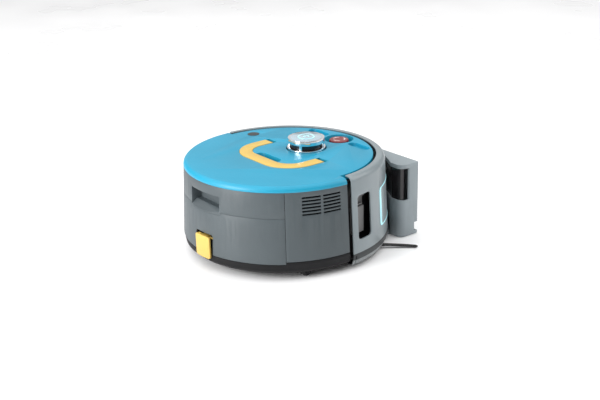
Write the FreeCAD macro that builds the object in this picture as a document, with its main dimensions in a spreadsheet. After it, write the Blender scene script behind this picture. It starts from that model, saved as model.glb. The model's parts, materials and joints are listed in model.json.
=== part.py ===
import FreeCAD, Part
import os
import re

import Sketcher
from FreeCAD import Placement, Rotation, Vector

# A round floor-cleaning robot on its charging dock, as a parametric document in millimetres.
# +Z is up, the robot drives towards -Y, and the origin is on the floor under its axis.
# "right" is the robot's own right-hand side, which is -X.

# ---------------------------------------------------------------- driving dimensions
SIZES = {
    # outer body
    "body_radius": (215, "outer wall at the lid seam"),
    "wall_flare": (8, "how much wider the wall is at its foot"),
    "wall": (3, "wall thickness of the mouldings"),
    "ground_gap": (15, "floor to the underside"),
    "panel_foot": (37, "lower edge of the rear panels"),
    "side_foot": (42, "lower edge of the side shells"),
    "panel_ease": (2.2, "rounding of the panels' lower edges"),
    "lid_top": (200, "flat top of the lid"),
    "lid_deep": (12, "depth of the lid's rim"),
    "lid_seam": ("lid_top - lid_deep", "lower edge of the lid"),
    "lid_round": (10.6, "rounding of the lid's edge"),
    "seam_gap": (0.4, "visible gap between neighbouring panels"),
    "rear_sweep": (106.8, "angle covered by the rear panels"),
    "channel_rear": (0.8, "angle from the X axis to a side shell's front edge"),
    "channel_front": (1.6, "angle from the X axis to the bumper's end"),
    "running": (0.06, "radial clearance of shafts"),
    # chassis
    "base_radius": ("body_radius - wall", "underside"),
    "base_floor": (4, "thickness of the chassis floor"),
    "front_radius": ("body_radius - 10", "chassis under the bumper"),
    "core_radius": ("body_radius - 15", "inner front shell"),
    "deck_radius": ("core_radius - 4", "middle deck"),
    "deck_low": (131, "underside of the middle deck"),
    "deck_thick": (3, "middle deck"),
    "post_radius": (6, "deck post"),
    "post_side": (111, "deck posts from the middle plane"),
    "post_rear": (66, "rear deck posts behind the axis"),
    "post_front": (62, "front deck posts ahead of the axis"),
    # turret
    "ring_radius": (42, "turret base ring"),
    "ring_inside": ("ring_radius - 5", "inside the base ring"),
    "ring_low": ("lid_top - 7", "underside of the base ring"),
    "ring_high": ("ring_low + 10", "top of the base ring"),
    "cap_radius": ("ring_radius - 2", "turret cap"),
    "cap_low": ("ring_high + 11", "underside of the cap"),
    "cap_high": ("cap_low + 10", "top of the cap"),
    "disc_top": ("cap_radius - 5.5", "white disc in the cap"),
    "pillar_half": (3, "half a turret pillar's width"),
    "pillar_first": (124, "angle of the first turret pillar"),
    "button_radius": (15.2, "power button"),
    "button_travel": (1.5, "power button"),
    "button_gap": (0.4, "clearance round the power button"),
    "halo_radius": ("button_radius + 3.4", "light ring round the power button"),
    "rotor_radius": ("ring_inside - 2.5", "ranging rotor"),
    # lid
    "lid_front": ("core_radius - 7.5", "lid's edge in the front half"),
    "cup_wall": (2.2, "walls of the recesses under the lid"),
    "turret_forward": (63, "turret axis ahead of the body's axis"),
    "turret_well": ("ring_radius + 2.6", "hole in the lid round the turret"),
    "stop_forward": (156, "emergency stop ahead of the body's axis"),
    "stop_well": (32.5, "well of the emergency stop"),
    "stop_well_deep": (16, "depth of that well"),
    "grip_side": (70, "finger recesses from the middle plane"),
    "grip_forward": (154, "finger recesses ahead of the axis"),
    "grip_long": (62, "finger recess, along X"),
    "grip_across": (22, "finger recess, along Y"),
    "grip_deep": (7, "finger recess"),
    "disc_radius": (13.5, "status disc"),
    "disc_side": (159, "status disc from the middle plane"),
    "disc_forward": (34, "status disc ahead of the axis"),
    # handle
    "handle_half": (104, "half the handle's width"),
    "handle_wide": (28, "width of its arms"),
    "handle_inner": ("handle_half - handle_wide", "half the space between its arms"),
    "handle_rear": (76, "rear edge of its bar"),
    "handle_front": ("handle_rear - 29", "front edge of its bar"),
    "handle_corner": (70, "outer corner"),
    "handle_bend": (40, "inner corner"),
    "handle_thick": (6.5, "handle"),
    "handle_gap": (0.8, "gap round the handle in its track"),
    "handle_bed": ("lid_top - 6", "floor of the track"),
    "pivot_forward": (26, "handle pivot ahead of the axis"),
    "knuckle": (6.3, "radius of the handle's knuckles"),
    "handle_pin": (3, "radius of the handle's pins"),
    "pin_reach": (4, "how far the handle's pins stand into the lid"),
    "pocket_ahead": (13.5, "pocket ahead of the handle pivot"),
    "pocket_behind": (7, "pocket behind the handle pivot"),
    "reach_half": (38, "half the width of the recess under the bar"),
    "reach_front": ("handle_front - 19", "front edge of the recess under the bar"),
    "reach_rear": ("handle_rear - 4", "rear edge of the recess under the bar"),
    "reach_floor": ("lid_top - 14", "floor of the recess under the bar"),
    "reach_corner": (14, "front corners of that recess"),
    # emergency stop
    "stop_radius": (22, "red head"),
    "stop_stem": (9, "plunger"),
    "stop_pin": (3, "spindle of the red head"),
    "stop_travel": (4, "plunger travel"),
    # bumper
    "bumper_radius": ("body_radius + 3.3", "bumper at the lid seam"),
    "bumper_flare": ("wall_flare - 1.5", "how much wider it is at the panel foot"),
    "bumper_top": ("lid_top + 1", "top of its rim"),
    "bumper_rim": ("lid_front + 7", "inner edge of its rim"),
    "bumper_round": (12, "rounding of its rim"),
    "bumper_foot": (35, "lower edge of the shell"),
    "trim_foot": (21.5, "lower edge of the dark trim"),
    "skirt_foot": (10, "lower edge of the skirt"),
    "slit_angle": (86.8, "slits near the skirt's ends, from straight ahead"),
    "slit_wide": (2.4, "those slits"),
    "slit_high": (30, "top of those slits"),
    "slot_angle": (79.2, "side windows, from straight ahead"),
    "slot_wide": (42, "side window"),
    "slot_low": (62.5, "side window"),
    "slot_high": (158, "side window"),
    "slot_corner": (8, "side window"),
    "light_low": (64, "light frame, lower edge"),
    "light_high": (149, "light frame, upper edge"),
    "light_wide": (9, "uprights of the light frame"),
    "light_thin": (2, "runs of the light frame"),
    "light_corner": (9, "corners of the light frame"),
    "light_sweep": (125.5, "angle covered by the light frame"),
    "light_proud": (0.6, "how far the light frame stands out"),
    "eye_low": (98, "front sensor window"),
    "eye_high": (134, "front sensor window"),
    "eye_sweep": (34, "front sensor window"),
    "guide_side": (40, "bumper guides from the middle plane"),
    "guide_high": (160, "bumper guides above the floor"),
    "guide_radius": (4, "bumper guide pins"),
    # rear
    "bin_seam": (134, "seam between the rear panels"),
    "bin_half": (138, "half the dust bin's width"),
    "bin_front": (16, "front wall of the dust bin"),
    "bin_top": ("lid_seam - 10", "rim of the dust bin"),
    "bin_wall": (2.5, "dust bin"),
    "pleat_pitch": (10, "filter pleats"),
    "aside": (3.7, "angle from the middle plane to the pull niche and latch tab"),
    "niche_aside": ("body_radius * sin(aside * 1deg)", "middle of the niche, to the right"),
    "niche_half": (46, "half the width of the pull niche"),
    "niche_low": ("bin_seam + 6", "floor of the niche"),
    "niche_top": ("niche_low + 28", "top of the niche"),
    "niche_lip": ("bin_seam - 5", "lower end of the sloping lip"),
    "niche_back": ("body_radius - 24", "end wall of the niche"),
    "niche_ramp": ("niche_back + 12", "inner end of the sloping lip"),
    "tray_half": (95, "half the battery tray's width"),
    "tray_front": (62, "front of the battery tray"),
    "tray_rear": ("body_radius - 15", "rear wall of the battery tray"),
    "tray_low": (44, "underside of the battery tray"),
    "tray_high": (96, "rim of the battery tray"),
    "tab_half": (23, "half the latch tab's width"),
    "tab_low": (28, "lower edge of the latch tab"),
    "tab_high": (76, "upper edge of the latch tab"),
    "tab_inside": ("body_radius + 7.7", "inner face of the latch tab"),
    "tab_thick": (4, "latch tab"),
    "recess_half": ("tab_half + 5", "half the latch recess"),
    "recess_high": ("tab_high + 5", "top of the latch recess"),
    "recess_back": ("body_radius - 9", "end wall of the latch recess"),
    "latch_rear": ("body_radius - 2", "latch pin behind the axis"),
    "latch_high": ("tab_high - 6", "latch pin above the floor"),
    "latch_pin": (2, "latch pin radius"),
    # vents
    "vent_first": (169.35, "angle of the vent column nearest the bumper"),
    "vent_apart": (11.7, "angle between the vent columns"),
    "vent_long": (39, "vent slot"),
    "vent_tall": (3.6, "vent slot"),
    "vent_pitch": (7, "vent slots, one above the other"),
    "vent_low": (138.5, "lowest vent slot"),
    # drive
    "wheel_side": (150, "drive wheels from the middle plane"),
    "wheel_radius": (42, "drive wheel"),
    "wheel_half": (13, "half a drive wheel's width"),
    "wheel_room": (2, "clearance beside a drive wheel"),
    "tyre_deep": (16, "thickness of the tyre"),
    "arm_pivot_rear": ("wheel_radius + 6", "suspension pivot behind the axis"),
    "arm_pivot_high": ("wheel_radius + 4", "suspension pivot above the floor"),
    "arm_thick": (6, "suspension arm"),
    "arm_inside": ("wheel_side - wheel_half - arm_thick - 7", "inner face of the arm"),
    "arm_ear": (4.6, "outer ear of the arm's pivot"),
    "axle": (4, "axle radius"),
    # caster
    "caster_forward": (130, "caster stem ahead of the axis"),
    "caster_radius": (17, "caster wheel"),
    "caster_half": (6.5, "half the caster wheel's width"),
    "caster_trail": (10, "caster trail"),
    "caster_well": ("caster_radius + caster_trail + 2", "recess of the caster"),
    "caster_roof": ("2 * caster_radius + 8", "roof of that recess"),
    "caster_pin": (2.5, "caster axle"),
    # rollers
    "roller_side": (177, "rear rollers from the middle plane"),
    "roller_rear": (83, "rear rollers behind the axis"),
    "roller_radius": (13, "rear roller"),
    "roller_half": (4.5, "half a rear roller's width"),
    # side brushes
    "side_brush_out": (162.5, "side brush hubs from the middle plane"),
    "side_brush_forward": (109, "side brush hubs ahead of the axis"),
    "side_brush_reach": (101, "side brush, hub to tips"),
    "side_brush_turn": (237.2, "angle of the first bristle arm"),
    "side_brush_hub": (13, "side brush hub"),
    "side_brush_shaft": (3, "side brush shaft"),
    "side_motor": (9, "side brush motor"),
    # main brush
    "brush_forward": (72, "main brush ahead of the axis"),
    "brush_high": (20.5, "main brush axis above the floor"),
    "brush_radius": (19.5, "bristle tips"),
    "brush_core": (9, "main brush core"),
    "brush_half": (86, "half the main brush's length"),
    "vane_half": (1.5, "half a bristle row's thickness"),
    "tunnel": ("brush_radius + 3.5", "radius of the brush tunnel"),
    "brush_motor": (12, "main brush motor"),
    # fan and duct
    "fan_rear": (5, "fan axis behind the body's axis"),
    "fan_radius": (48, "fan housing"),
    "fan_wall": (3, "fan housing"),
    "fan_low": (50, "underside of the fan housing"),
    "fan_high": (112, "top of the fan housing"),
    "fan_shaft": (3, "fan shaft"),
    "blade_half": (1, "half a fan blade's thickness"),
    "duct_half": (22, "half the suction duct's width"),
    "duct_wall": (2, "suction duct"),
    # electronics
    "board_half": (96, "half the control board's width"),
    "chip_half": (12, "half a chip's width"),
    "contact_side": (40, "charging contacts from the middle plane"),
    "contact_half": (12, "half a charging contact's width"),
    "contact_gap": (0.7, "between the dock's contacts and the robot's pads"),
    # dock
    "dock_half": (166, "half the dock's width"),
    "dock_hollow": ("bumper_radius + bumper_flare + 7.2", "radius of the concave face"),
    "dock_back": ("dock_hollow + 10", "rear face ahead of the body's axis"),
    "dock_face": ("dock_back - 50", "front of the wings"),
    "dock_high": (169, "top of the dock"),
    "dock_corner": (16, "front corners"),
    "dock_wall": (3, "dock mouldings"),
    "pane_low": (87, "dock window"),
    "pane_high": (160, "dock window"),
    "pane_deep": (4, "how far the window is set back"),
    "pane_thick": (2, "dock window"),
    "pane_end": ("dock_back - 31", "side ends of the window"),
    "pane_lip": (6, "sloping lip at those ends"),
    "cover_side": (16, "back cover, in from the dock's sides"),
    "cover_low": (10, "back cover"),
    "cover_top": (9, "back cover below the dock's top"),
    "plate_half": (131, "half the dock's base plate"),
    "plate_front": ("dock_back - 64", "front edge of the base plate"),
    "plate_high": (6, "top of the base plate"),
    "foot_high": (1.5, "rubber feet"),
    "foot_radius": (7, "rubber feet"),
    "inlet_radius": (2.75, "bore of the power inlet"),
    "inlet_deep": (9, "depth of the power inlet"),
    "inlet_high": (18, "power inlet above the floor"),
    "notch_in": (14, "lead notch in the dock's side"),
    "notch_ahead": (9, "lead notch in the dock's back"),
    "notch_low": (8, "lead notch"),
    "notch_high": (29, "lead notch"),
}

doc = FreeCAD.newDocument("FloorRobot")
sheet = doc.addObject("Spreadsheet::Sheet", "Sizes")
for row, (word, (size, note)) in enumerate(SIZES.items(), 1):
    sheet.set(f"A{row}", word)
    sheet.set(f"B{row}", f"={size}")
    sheet.set(f"C{row}", note)
    sheet.setAlias(f"B{row}", word)
doc.recompute()

WORDS = re.compile(r"\b(" + "|".join(sorted(SIZES, key=len, reverse=True)) + r")\b")
nodes = {}


# ---------------------------------------------------------------- helpers
def formula(text):
    """Turn words of the size table into references to the spreadsheet."""
    return WORDS.sub(r"Sizes.\1", str(text))


def value(text):
    result = sheet.evalExpression(formula(text))
    return float(getattr(result, "Value", result))


def bind(item, **sizes):
    for name, text in sizes.items():
        item.setExpression(name, formula(text))


def pair(text):
    """A single formula stands for a stretch centred on zero."""
    return text if isinstance(text, tuple) else (f"-({text})", text)


def seat(item, x, y, z, turn=None, ahead="0"):
    """Bind a place; with turn it is given in a frame turned by that angle about Z,
    whose origin is on the middle plane, ahead of the robot's axis."""
    where = (x, y, z)
    if turn is not None:
        cosine, sine = f"cos(({turn}) * 1deg)", f"sin(({turn}) * 1deg)"
        where = (
            f"({x}) * {cosine} - ({y}) * {sine}",
            f"({x}) * {sine} + ({y}) * {cosine} - ({ahead})",
            z,
        )
        about_z = Rotation(Vector(0, 0, 1), value(turn))
        item.Placement = Placement(Vector(), about_z.multiply(item.Placement.Rotation))
    for letter, text in zip("xyz", where):
        item.setExpression("Placement.Base." + letter, formula(text))
    return item


def box(x, y, z, turn=None, ahead="0"):
    """A block between a low and a high place along each axis."""
    (x0, x1), (y0, y1), (z0, z1) = pair(x), pair(y), pair(z)
    item = doc.addObject("Part::Box", "Block")
    bind(item, Length=f"({x1}) - ({x0})", Width=f"({y1}) - ({y0})", Height=f"({z1}) - ({z0})")
    return seat(item, x0, y0, z0, turn, ahead)


def rod(radius, span, at=("0", "0"), along="Z", turn=None, ahead="0"):
    """A cylinder; at holds the two places across its axis, in X, Y, Z order."""
    low, high = pair(span)
    item = doc.addObject("Part::Cylinder", "Rod")
    bind(item, Radius=radius, Height=f"({high}) - ({low})")
    if along == "X":
        item.Placement = Placement(Vector(), Rotation(Vector(0, 1, 0), 90))
        return seat(item, low, at[0], at[1], turn)
    if along == "Y":
        item.Placement = Placement(Vector(), Rotation(Vector(1, 0, 0), -90))
        return seat(item, at[0], low, at[1], turn)
    return seat(item, at[0], at[1], low, turn, ahead)


def fuse(*items):
    item = doc.addObject("Part::MultiFuse", "Joined")
    item.Shapes = list(items)
    item.Refine = True
    return item


def cut(base, *tools):
    tool = tools[0] if len(tools) == 1 else fuse(*tools)
    item = doc.addObject("Part::Cut", "Cut")
    item.Base, item.Tool = base, tool
    return item


def common(base, tool):
    item = doc.addObject("Part::Common", "Shared")
    item.Base, item.Tool = base, tool
    return item


def mirror(item):
    """The same piece on the robot's left."""
    copy = doc.addObject("Part::Mirroring", "Mirrored")
    copy.Source = item
    copy.Normal = Vector(1, 0, 0)
    return copy


def node(label, item):
    item.Label = label
    nodes[label] = item
    return item


def both_sides(label, item):
    """A piece on the robot's right, and its mirror image on the left."""
    node(label + "_right", item)
    node(label + "_left", mirror(item))
    return item


def draw(sketch, points):
    """A closed outline whose corners are held by formulas from the sketch's origin."""
    places = [Vector(value(x), value(y), 0) for x, y in points]
    count = len(places)
    for index, start in enumerate(places):
        sketch.addGeometry(Part.LineSegment(start, places[(index + 1) % count]), False)
    for index, corner in enumerate(points):
        sketch.addConstraint(
            Sketcher.Constraint("Coincident", index, 2, (index + 1) % count, 1)
        )
        for letter, axis, text in zip("XY", (-2, -1), corner):
            if abs(value(text)) < 1e-9:
                sketch.addConstraint(Sketcher.Constraint("PointOnObject", index, 1, axis))
                continue
            number = sketch.addConstraint(
                Sketcher.Constraint("Distance" + letter, -1, 1, index, 1, value(text))
            )
            sketch.setExpression(f"Constraints[{number}]", formula(text))


def outline(name, plane, points):
    """A design body with one sketch on one of its own origin planes."""
    body = doc.addObject("PartDesign::Body", name)
    sketch = body.newObject("Sketcher::SketchObject", name + "_outline")
    origin_plane = [f for f in body.Origin.OriginFeatures if f.Role == plane][0]
    sketch.AttachmentSupport = (origin_plane, [""])
    sketch.MapMode = "FlatFace"
    draw(sketch, points)
    sketch.Visibility = False
    return body, sketch


def turned(name, points, sweep="360", middle=None):
    """A section in radius and height, swept about Z, centred on the middle angle."""
    body, sketch = outline(name, "XZ_Plane", points)
    feature = body.newObject("PartDesign::Revolution", name + "_sweep")
    feature.Profile = (sketch, [""])
    feature.ReferenceAxis = (sketch, ["V_Axis"])
    if middle is None:
        feature.Angle = 360
    else:
        feature.Midplane = True
        bind(feature, Angle=sweep)
        body.Placement = Placement(Vector(), Rotation(Vector(0, 0, 1), value(middle)))
    return body


def slab(name, plane, points, span):
    """An outline padded across its plane between two places."""
    low, high = pair(span)
    body, sketch = outline(name, plane, points)
    pad = body.newObject("PartDesign::Pad", name + "_pad")
    pad.Profile = (sketch, [""])
    if plane == "XZ_Plane":
        pad.Reversed = True
    bind(pad, Length=f"({high}) - ({low})")
    letter = {"XY_Plane": "z", "YZ_Plane": "x", "XZ_Plane": "y"}[plane]
    body.setExpression("Placement.Base." + letter, formula(low))
    return body


def round_edges(body, radius, pick):
    """Fillet the body's edges that pick accepts."""
    doc.recompute()
    tip = body.Tip
    names = [f"Edge{i}" for i, edge in enumerate(tip.Shape.Edges, 1) if pick(edge)]
    if not names:
        raise ValueError(f"{body.Label}: no edge to round")
    feature = body.newObject("PartDesign::Fillet", body.Name + "_round")
    feature.Base = (tip, names)
    bind(feature, Radius=radius)
    body.Tip = feature
    return body


def soften(item, radius, pick):
    """Fillet a primitive's edges that pick accepts."""
    doc.recompute()
    size = value(radius)
    feature = doc.addObject("Part::Fillet", "Softened")
    feature.Base = item
    edges = enumerate(item.Shape.Edges, 1)
    feature.Edges = [(i, size, size) for i, edge in edges if pick(edge)]
    return feature


def circle_at(radius, height):
    """Accepts arcs and circles about Z with this radius at this height."""
    size, level = value(radius), value(height)

    def pick(edge):
        if not isinstance(edge.Curve, Part.Circle):
            return False
        near = abs(edge.Curve.Radius - size) < 0.05
        return near and abs(edge.Curve.Center.z - level) < 0.05

    return pick


def upright(*corners):
    """Accepts straight edges along Z at any of these corners."""
    spots = [(value(x), value(y)) for x, y in corners]

    def pick(edge):
        ends = [vertex.Point for vertex in edge.Vertexes]
        if len(ends) != 2 or (ends[0] - ends[1]).cross(Vector(0, 0, 1)).Length > 0.01:
            return False
        return any(abs(ends[0].x - x) + abs(ends[0].y - y) < 0.1 for x, y in spots)

    return pick


def pointing(direction):
    """Accepts straight edges along this direction."""

    def pick(edge):
        ends = [vertex.Point for vertex in edge.Vertexes]
        return len(ends) == 2 and (ends[0] - ends[1]).cross(direction).Length < 0.01

    return pick


def either(*directions):
    """Accepts straight edges along any of these directions."""
    return lambda edge: any(pointing(direction)(edge) for direction in directions)


def radial(turn):
    return Rotation(Vector(0, 0, 1), value(turn)).multVec(Vector(1, 0, 0))


def astride(half):
    """A stretch in X centred on the pull niche."""
    return (f"-({half}) - niche_aside", f"{half} - niche_aside")


def body_wall(height, inset="0"):
    """Radius of the flared outer wall at a height, less an inset."""
    slope = f"wall_flare * (lid_seam - ({height})) / (lid_seam - panel_foot)"
    return f"(body_radius + {slope} - ({inset}))"


def bumper_wall(height, inset="0"):
    slope = f"bumper_flare * (lid_seam - ({height})) / (lid_seam - panel_foot)"
    return f"(bumper_radius + {slope} - ({inset}))"


def band(profile, low, high, outer="0", inner="wall"):
    """Section of a wall that follows a flared profile."""
    return [
        (profile(low, outer), low),
        (profile(high, outer), high),
        (profile(high, inner), high),
        (profile(low, inner), low),
    ]


def oblong(length, width, z, at):
    """A block with round ends, its length along X, centred at a place."""
    half = f"(({length}) - ({width})) / 2"
    across = f"({width}) / 2"
    x, y = at
    return fuse(
        box((f"{x} - {half}", f"{x} + {half}"), (f"{y} - {across}", f"{y} + {across}"), z),
        rod(across, z, (f"{x} - {half}", y)),
        rod(across, z, (f"{x} + {half}", y)),
    )


# ---------------------------------------------------------------- chassis
floor_top = "ground_gap + base_floor"
side_sweep = "90 - rear_sweep / 2 - channel_rear - 0.1"
side_middle = "180 - channel_rear - (90 - rear_sweep / 2 - channel_rear) / 2"
deck_top = "deck_low + deck_thick"
rim_top = "panel_foot - 0.3"
front_sweep = "180 - 2 * channel_front"
rear_panel = "rear_sweep - 0.24"


def wheel_openings():
    wheel = box(
        ("-(wheel_side + wheel_half + wheel_room)", "-(wheel_side - wheel_half - wheel_room)"),
        "wheel_radius + 2 * wheel_room",
        ("ground_gap - 1", floor_top + " + 1"),
    )
    roller = box(
        ("-(roller_side + roller_half + 1.5)", "-(roller_side - roller_half - 1.5)"),
        ("roller_rear - roller_radius - 2", "roller_rear + roller_radius + 2"),
        ("ground_gap - 1", floor_top + " + 1"),
    )
    return [wheel, mirror(wheel), roller, mirror(roller)]


def roller_ears():
    ears = []
    for inner, outer in (("1.5", "4.5"), ("-4.5", "-1.5")):
        edge = "roller_half" if inner == "1.5" else "-roller_half"
        ears.append(
            box(
                (f"-roller_side - ({edge}) - ({outer})", f"-roller_side - ({edge}) - ({inner})"),
                ("roller_rear - 6", "roller_rear + 6"),
                ("roller_radius - 5", floor_top + " + 3"),
            )
        )
    return [cut(ear, rod("latch_pin + running", ("-roller_side - 12", "-roller_side + 12"),
                         ("roller_rear", "roller_radius"), "X")) for ear in ears]


def arm_ears():
    ears = []
    for low, high in (("arm_inside - 5", "arm_inside - 0.3"),
                      ("arm_inside + arm_thick + 0.3", "arm_inside + arm_thick + arm_ear")):
        ears.append(
            box(
                (f"-({high})", f"-({low})"),
                ("arm_pivot_rear - 7", "arm_pivot_rear + 7"),
                (floor_top, "arm_pivot_high + 8"),
            )
        )
    hole = rod("axle + running", ("-(arm_inside + 12)", "-(arm_inside - 8)"),
               ("arm_pivot_rear", "arm_pivot_high"), "X")
    return [cut(ear, hole) for ear in ears]


def chassis():
    pan = turned(
        "Pan",
        [
            ("0", "ground_gap"),
            ("base_radius", "ground_gap"),
            ("base_radius + 7.5", "ground_gap + 7"),
            (body_wall(rim_top, "1"), rim_top),
            (body_wall(rim_top, "6"), rim_top),
            ("base_radius + 3", "ground_gap + 11"),
            ("base_radius - 3", floor_top),
            ("0", floor_top),
        ],
    )
    riser = turned("Riser", band(body_wall, rim_top + " - 0.2", "side_foot", "0.4", "6"),
                   side_sweep, side_middle)
    under_bumper = cut(
        box("base_radius + 30", ("-(base_radius + 30)", "0.5"), ("ground_gap - 1", "80")),
        rod("front_radius", ("ground_gap - 2", "81")),
    )
    caster_cup = cut(
        fuse(
            rod("caster_well + 3", ("ground_gap", "caster_roof + 4"), ("0", "-caster_forward")),
            rod("10", ("caster_roof", "caster_roof + 14"), ("0", "-caster_forward")),
        ),
        rod("axle + running", ("caster_roof - 1", "caster_roof + 15"), ("0", "-caster_forward")),
    )
    caster_hole = rod("caster_well", ("ground_gap - 1", "caster_roof"), ("0", "-caster_forward"))
    brush_hole = box(
        "brush_half + 11",
        ("-(brush_forward + tunnel)", "-(brush_forward - tunnel)"),
        ("ground_gap - 1", floor_top + " + 1"),
    )
    posts = []
    for y in ("post_rear", "-post_front"):
        post = rod("post_radius", (floor_top, "deck_low"), ("-post_side", y))
        posts += [post, mirror(post)]
    rail = box(("-(tray_half - 3)", "-(tray_half - 11)"), ("tray_front", "tray_rear - 10"),
               (floor_top, "tray_low"))
    shaft_hole = rod("side_brush_shaft + running", ("ground_gap - 1", floor_top + " + 1"),
                     ("-side_brush_out", "-side_brush_forward"))
    ears = roller_ears() + arm_ears()
    solid = fuse(
        cut(pan, under_bumper, caster_hole, brush_hole, shaft_hole, mirror(shaft_hole),
            *wheel_openings()),
        riser,
        mirror(riser),
        cut(caster_cup, caster_hole),
        rail,
        mirror(rail),
        *posts,
        *ears,
        *[mirror(ear) for ear in ears],
    )
    node("chassis_base", solid)

    front = turned(
        "FrontShell",
        [
            ("core_radius", floor_top),
            ("core_radius", "lid_seam - 2"),
            ("lid_front - wall - 1", "lid_seam - 2"),
            ("lid_front - wall - 1", "lid_seam - 5"),
            ("core_radius - wall", "lid_seam - 5"),
            ("core_radius - wall", floor_top),
        ],
        "186.8",
        "-90",
    )
    guide = rod("guide_radius", ("-(core_radius + 8.5)", "-(core_radius - wall - 2)"),
                ("-guide_side", "guide_high"), "Y")
    bay = rod("side_motor + 1.5", (floor_top + " - 1", floor_top + " + 33"),
              ("-side_brush_out", "-side_brush_forward"))
    cup = rod("stop_well + cup_wall + 0.5", ("lid_seam - 8", "lid_seam"), ("0", "-stop_forward"))
    node("front_shell", fuse(cut(front, bay, mirror(bay), cup), guide, mirror(guide)))

    deck = cut(
        rod("deck_radius", ("deck_low", deck_top)),
        box("deck_radius + 5", ("170", "deck_radius + 5"), ("deck_low - 1", deck_top + " + 1")),
        box("duct_half + 0.5", ("-(brush_forward + 13)", "-(brush_forward - 13)"),
            ("deck_low - 1", deck_top + " + 1")),
    )
    node("middle_deck", deck)


def side_shells():
    shell = turned("SideShell", band(body_wall, "side_foot", "lid_seam"), side_sweep, side_middle)
    round_edges(shell, "panel_ease", circle_at(body_wall("side_foot"), "side_foot"))
    slots = []
    for column in range(2):
        for level in range(6):
            low = f"vent_low + {level} * vent_pitch"
            slots.append(
                box(("body_radius - 10", "body_radius + 12"), "vent_long / 2",
                    (low, f"{low} + vent_tall"),
                    f"vent_first - vent_apart * {column}")
            )
    both_sides("side_shell", cut(shell, *slots))


# ---------------------------------------------------------------- lid and handle
def handle_block(grow, z, rear_only_from):
    """The handle's U outline, grown by a margin, as a solid."""
    outer = slab("HandleOuter", "XY_Plane", [
        (f"-(handle_half + {grow})", rear_only_from),
        (f"handle_half + {grow}", rear_only_from),
        (f"handle_half + {grow}", f"handle_rear + {grow}"),
        (f"-(handle_half + {grow})", f"handle_rear + {grow}"),
    ], z)
    round_edges(outer, f"handle_corner + {grow}", upright(
        (f"handle_half + {grow}", f"handle_rear + {grow}"),
        (f"-(handle_half + {grow})", f"handle_rear + {grow}"),
    ))
    low, high = z
    inner = slab("HandleInner", "XY_Plane", [
        (f"-(handle_inner - {grow})", f"{rear_only_from} - 5"),
        (f"handle_inner - {grow}", f"{rear_only_from} - 5"),
        (f"handle_inner - {grow}", f"handle_front - {grow}"),
        (f"-(handle_inner - {grow})", f"handle_front - {grow}"),
    ], (f"{low} - 1", f"{high} + 1"))
    round_edges(inner, f"handle_bend - {grow}", upright(
        (f"handle_inner - {grow}", f"handle_front - {grow}"),
        (f"-(handle_inner - {grow})", f"handle_front - {grow}"),
    ))
    return cut(outer, inner)


pocket_low = "lid_seam - 2"
pivot_at = ("-pivot_forward", "handle_bed + 0.6")


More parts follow.
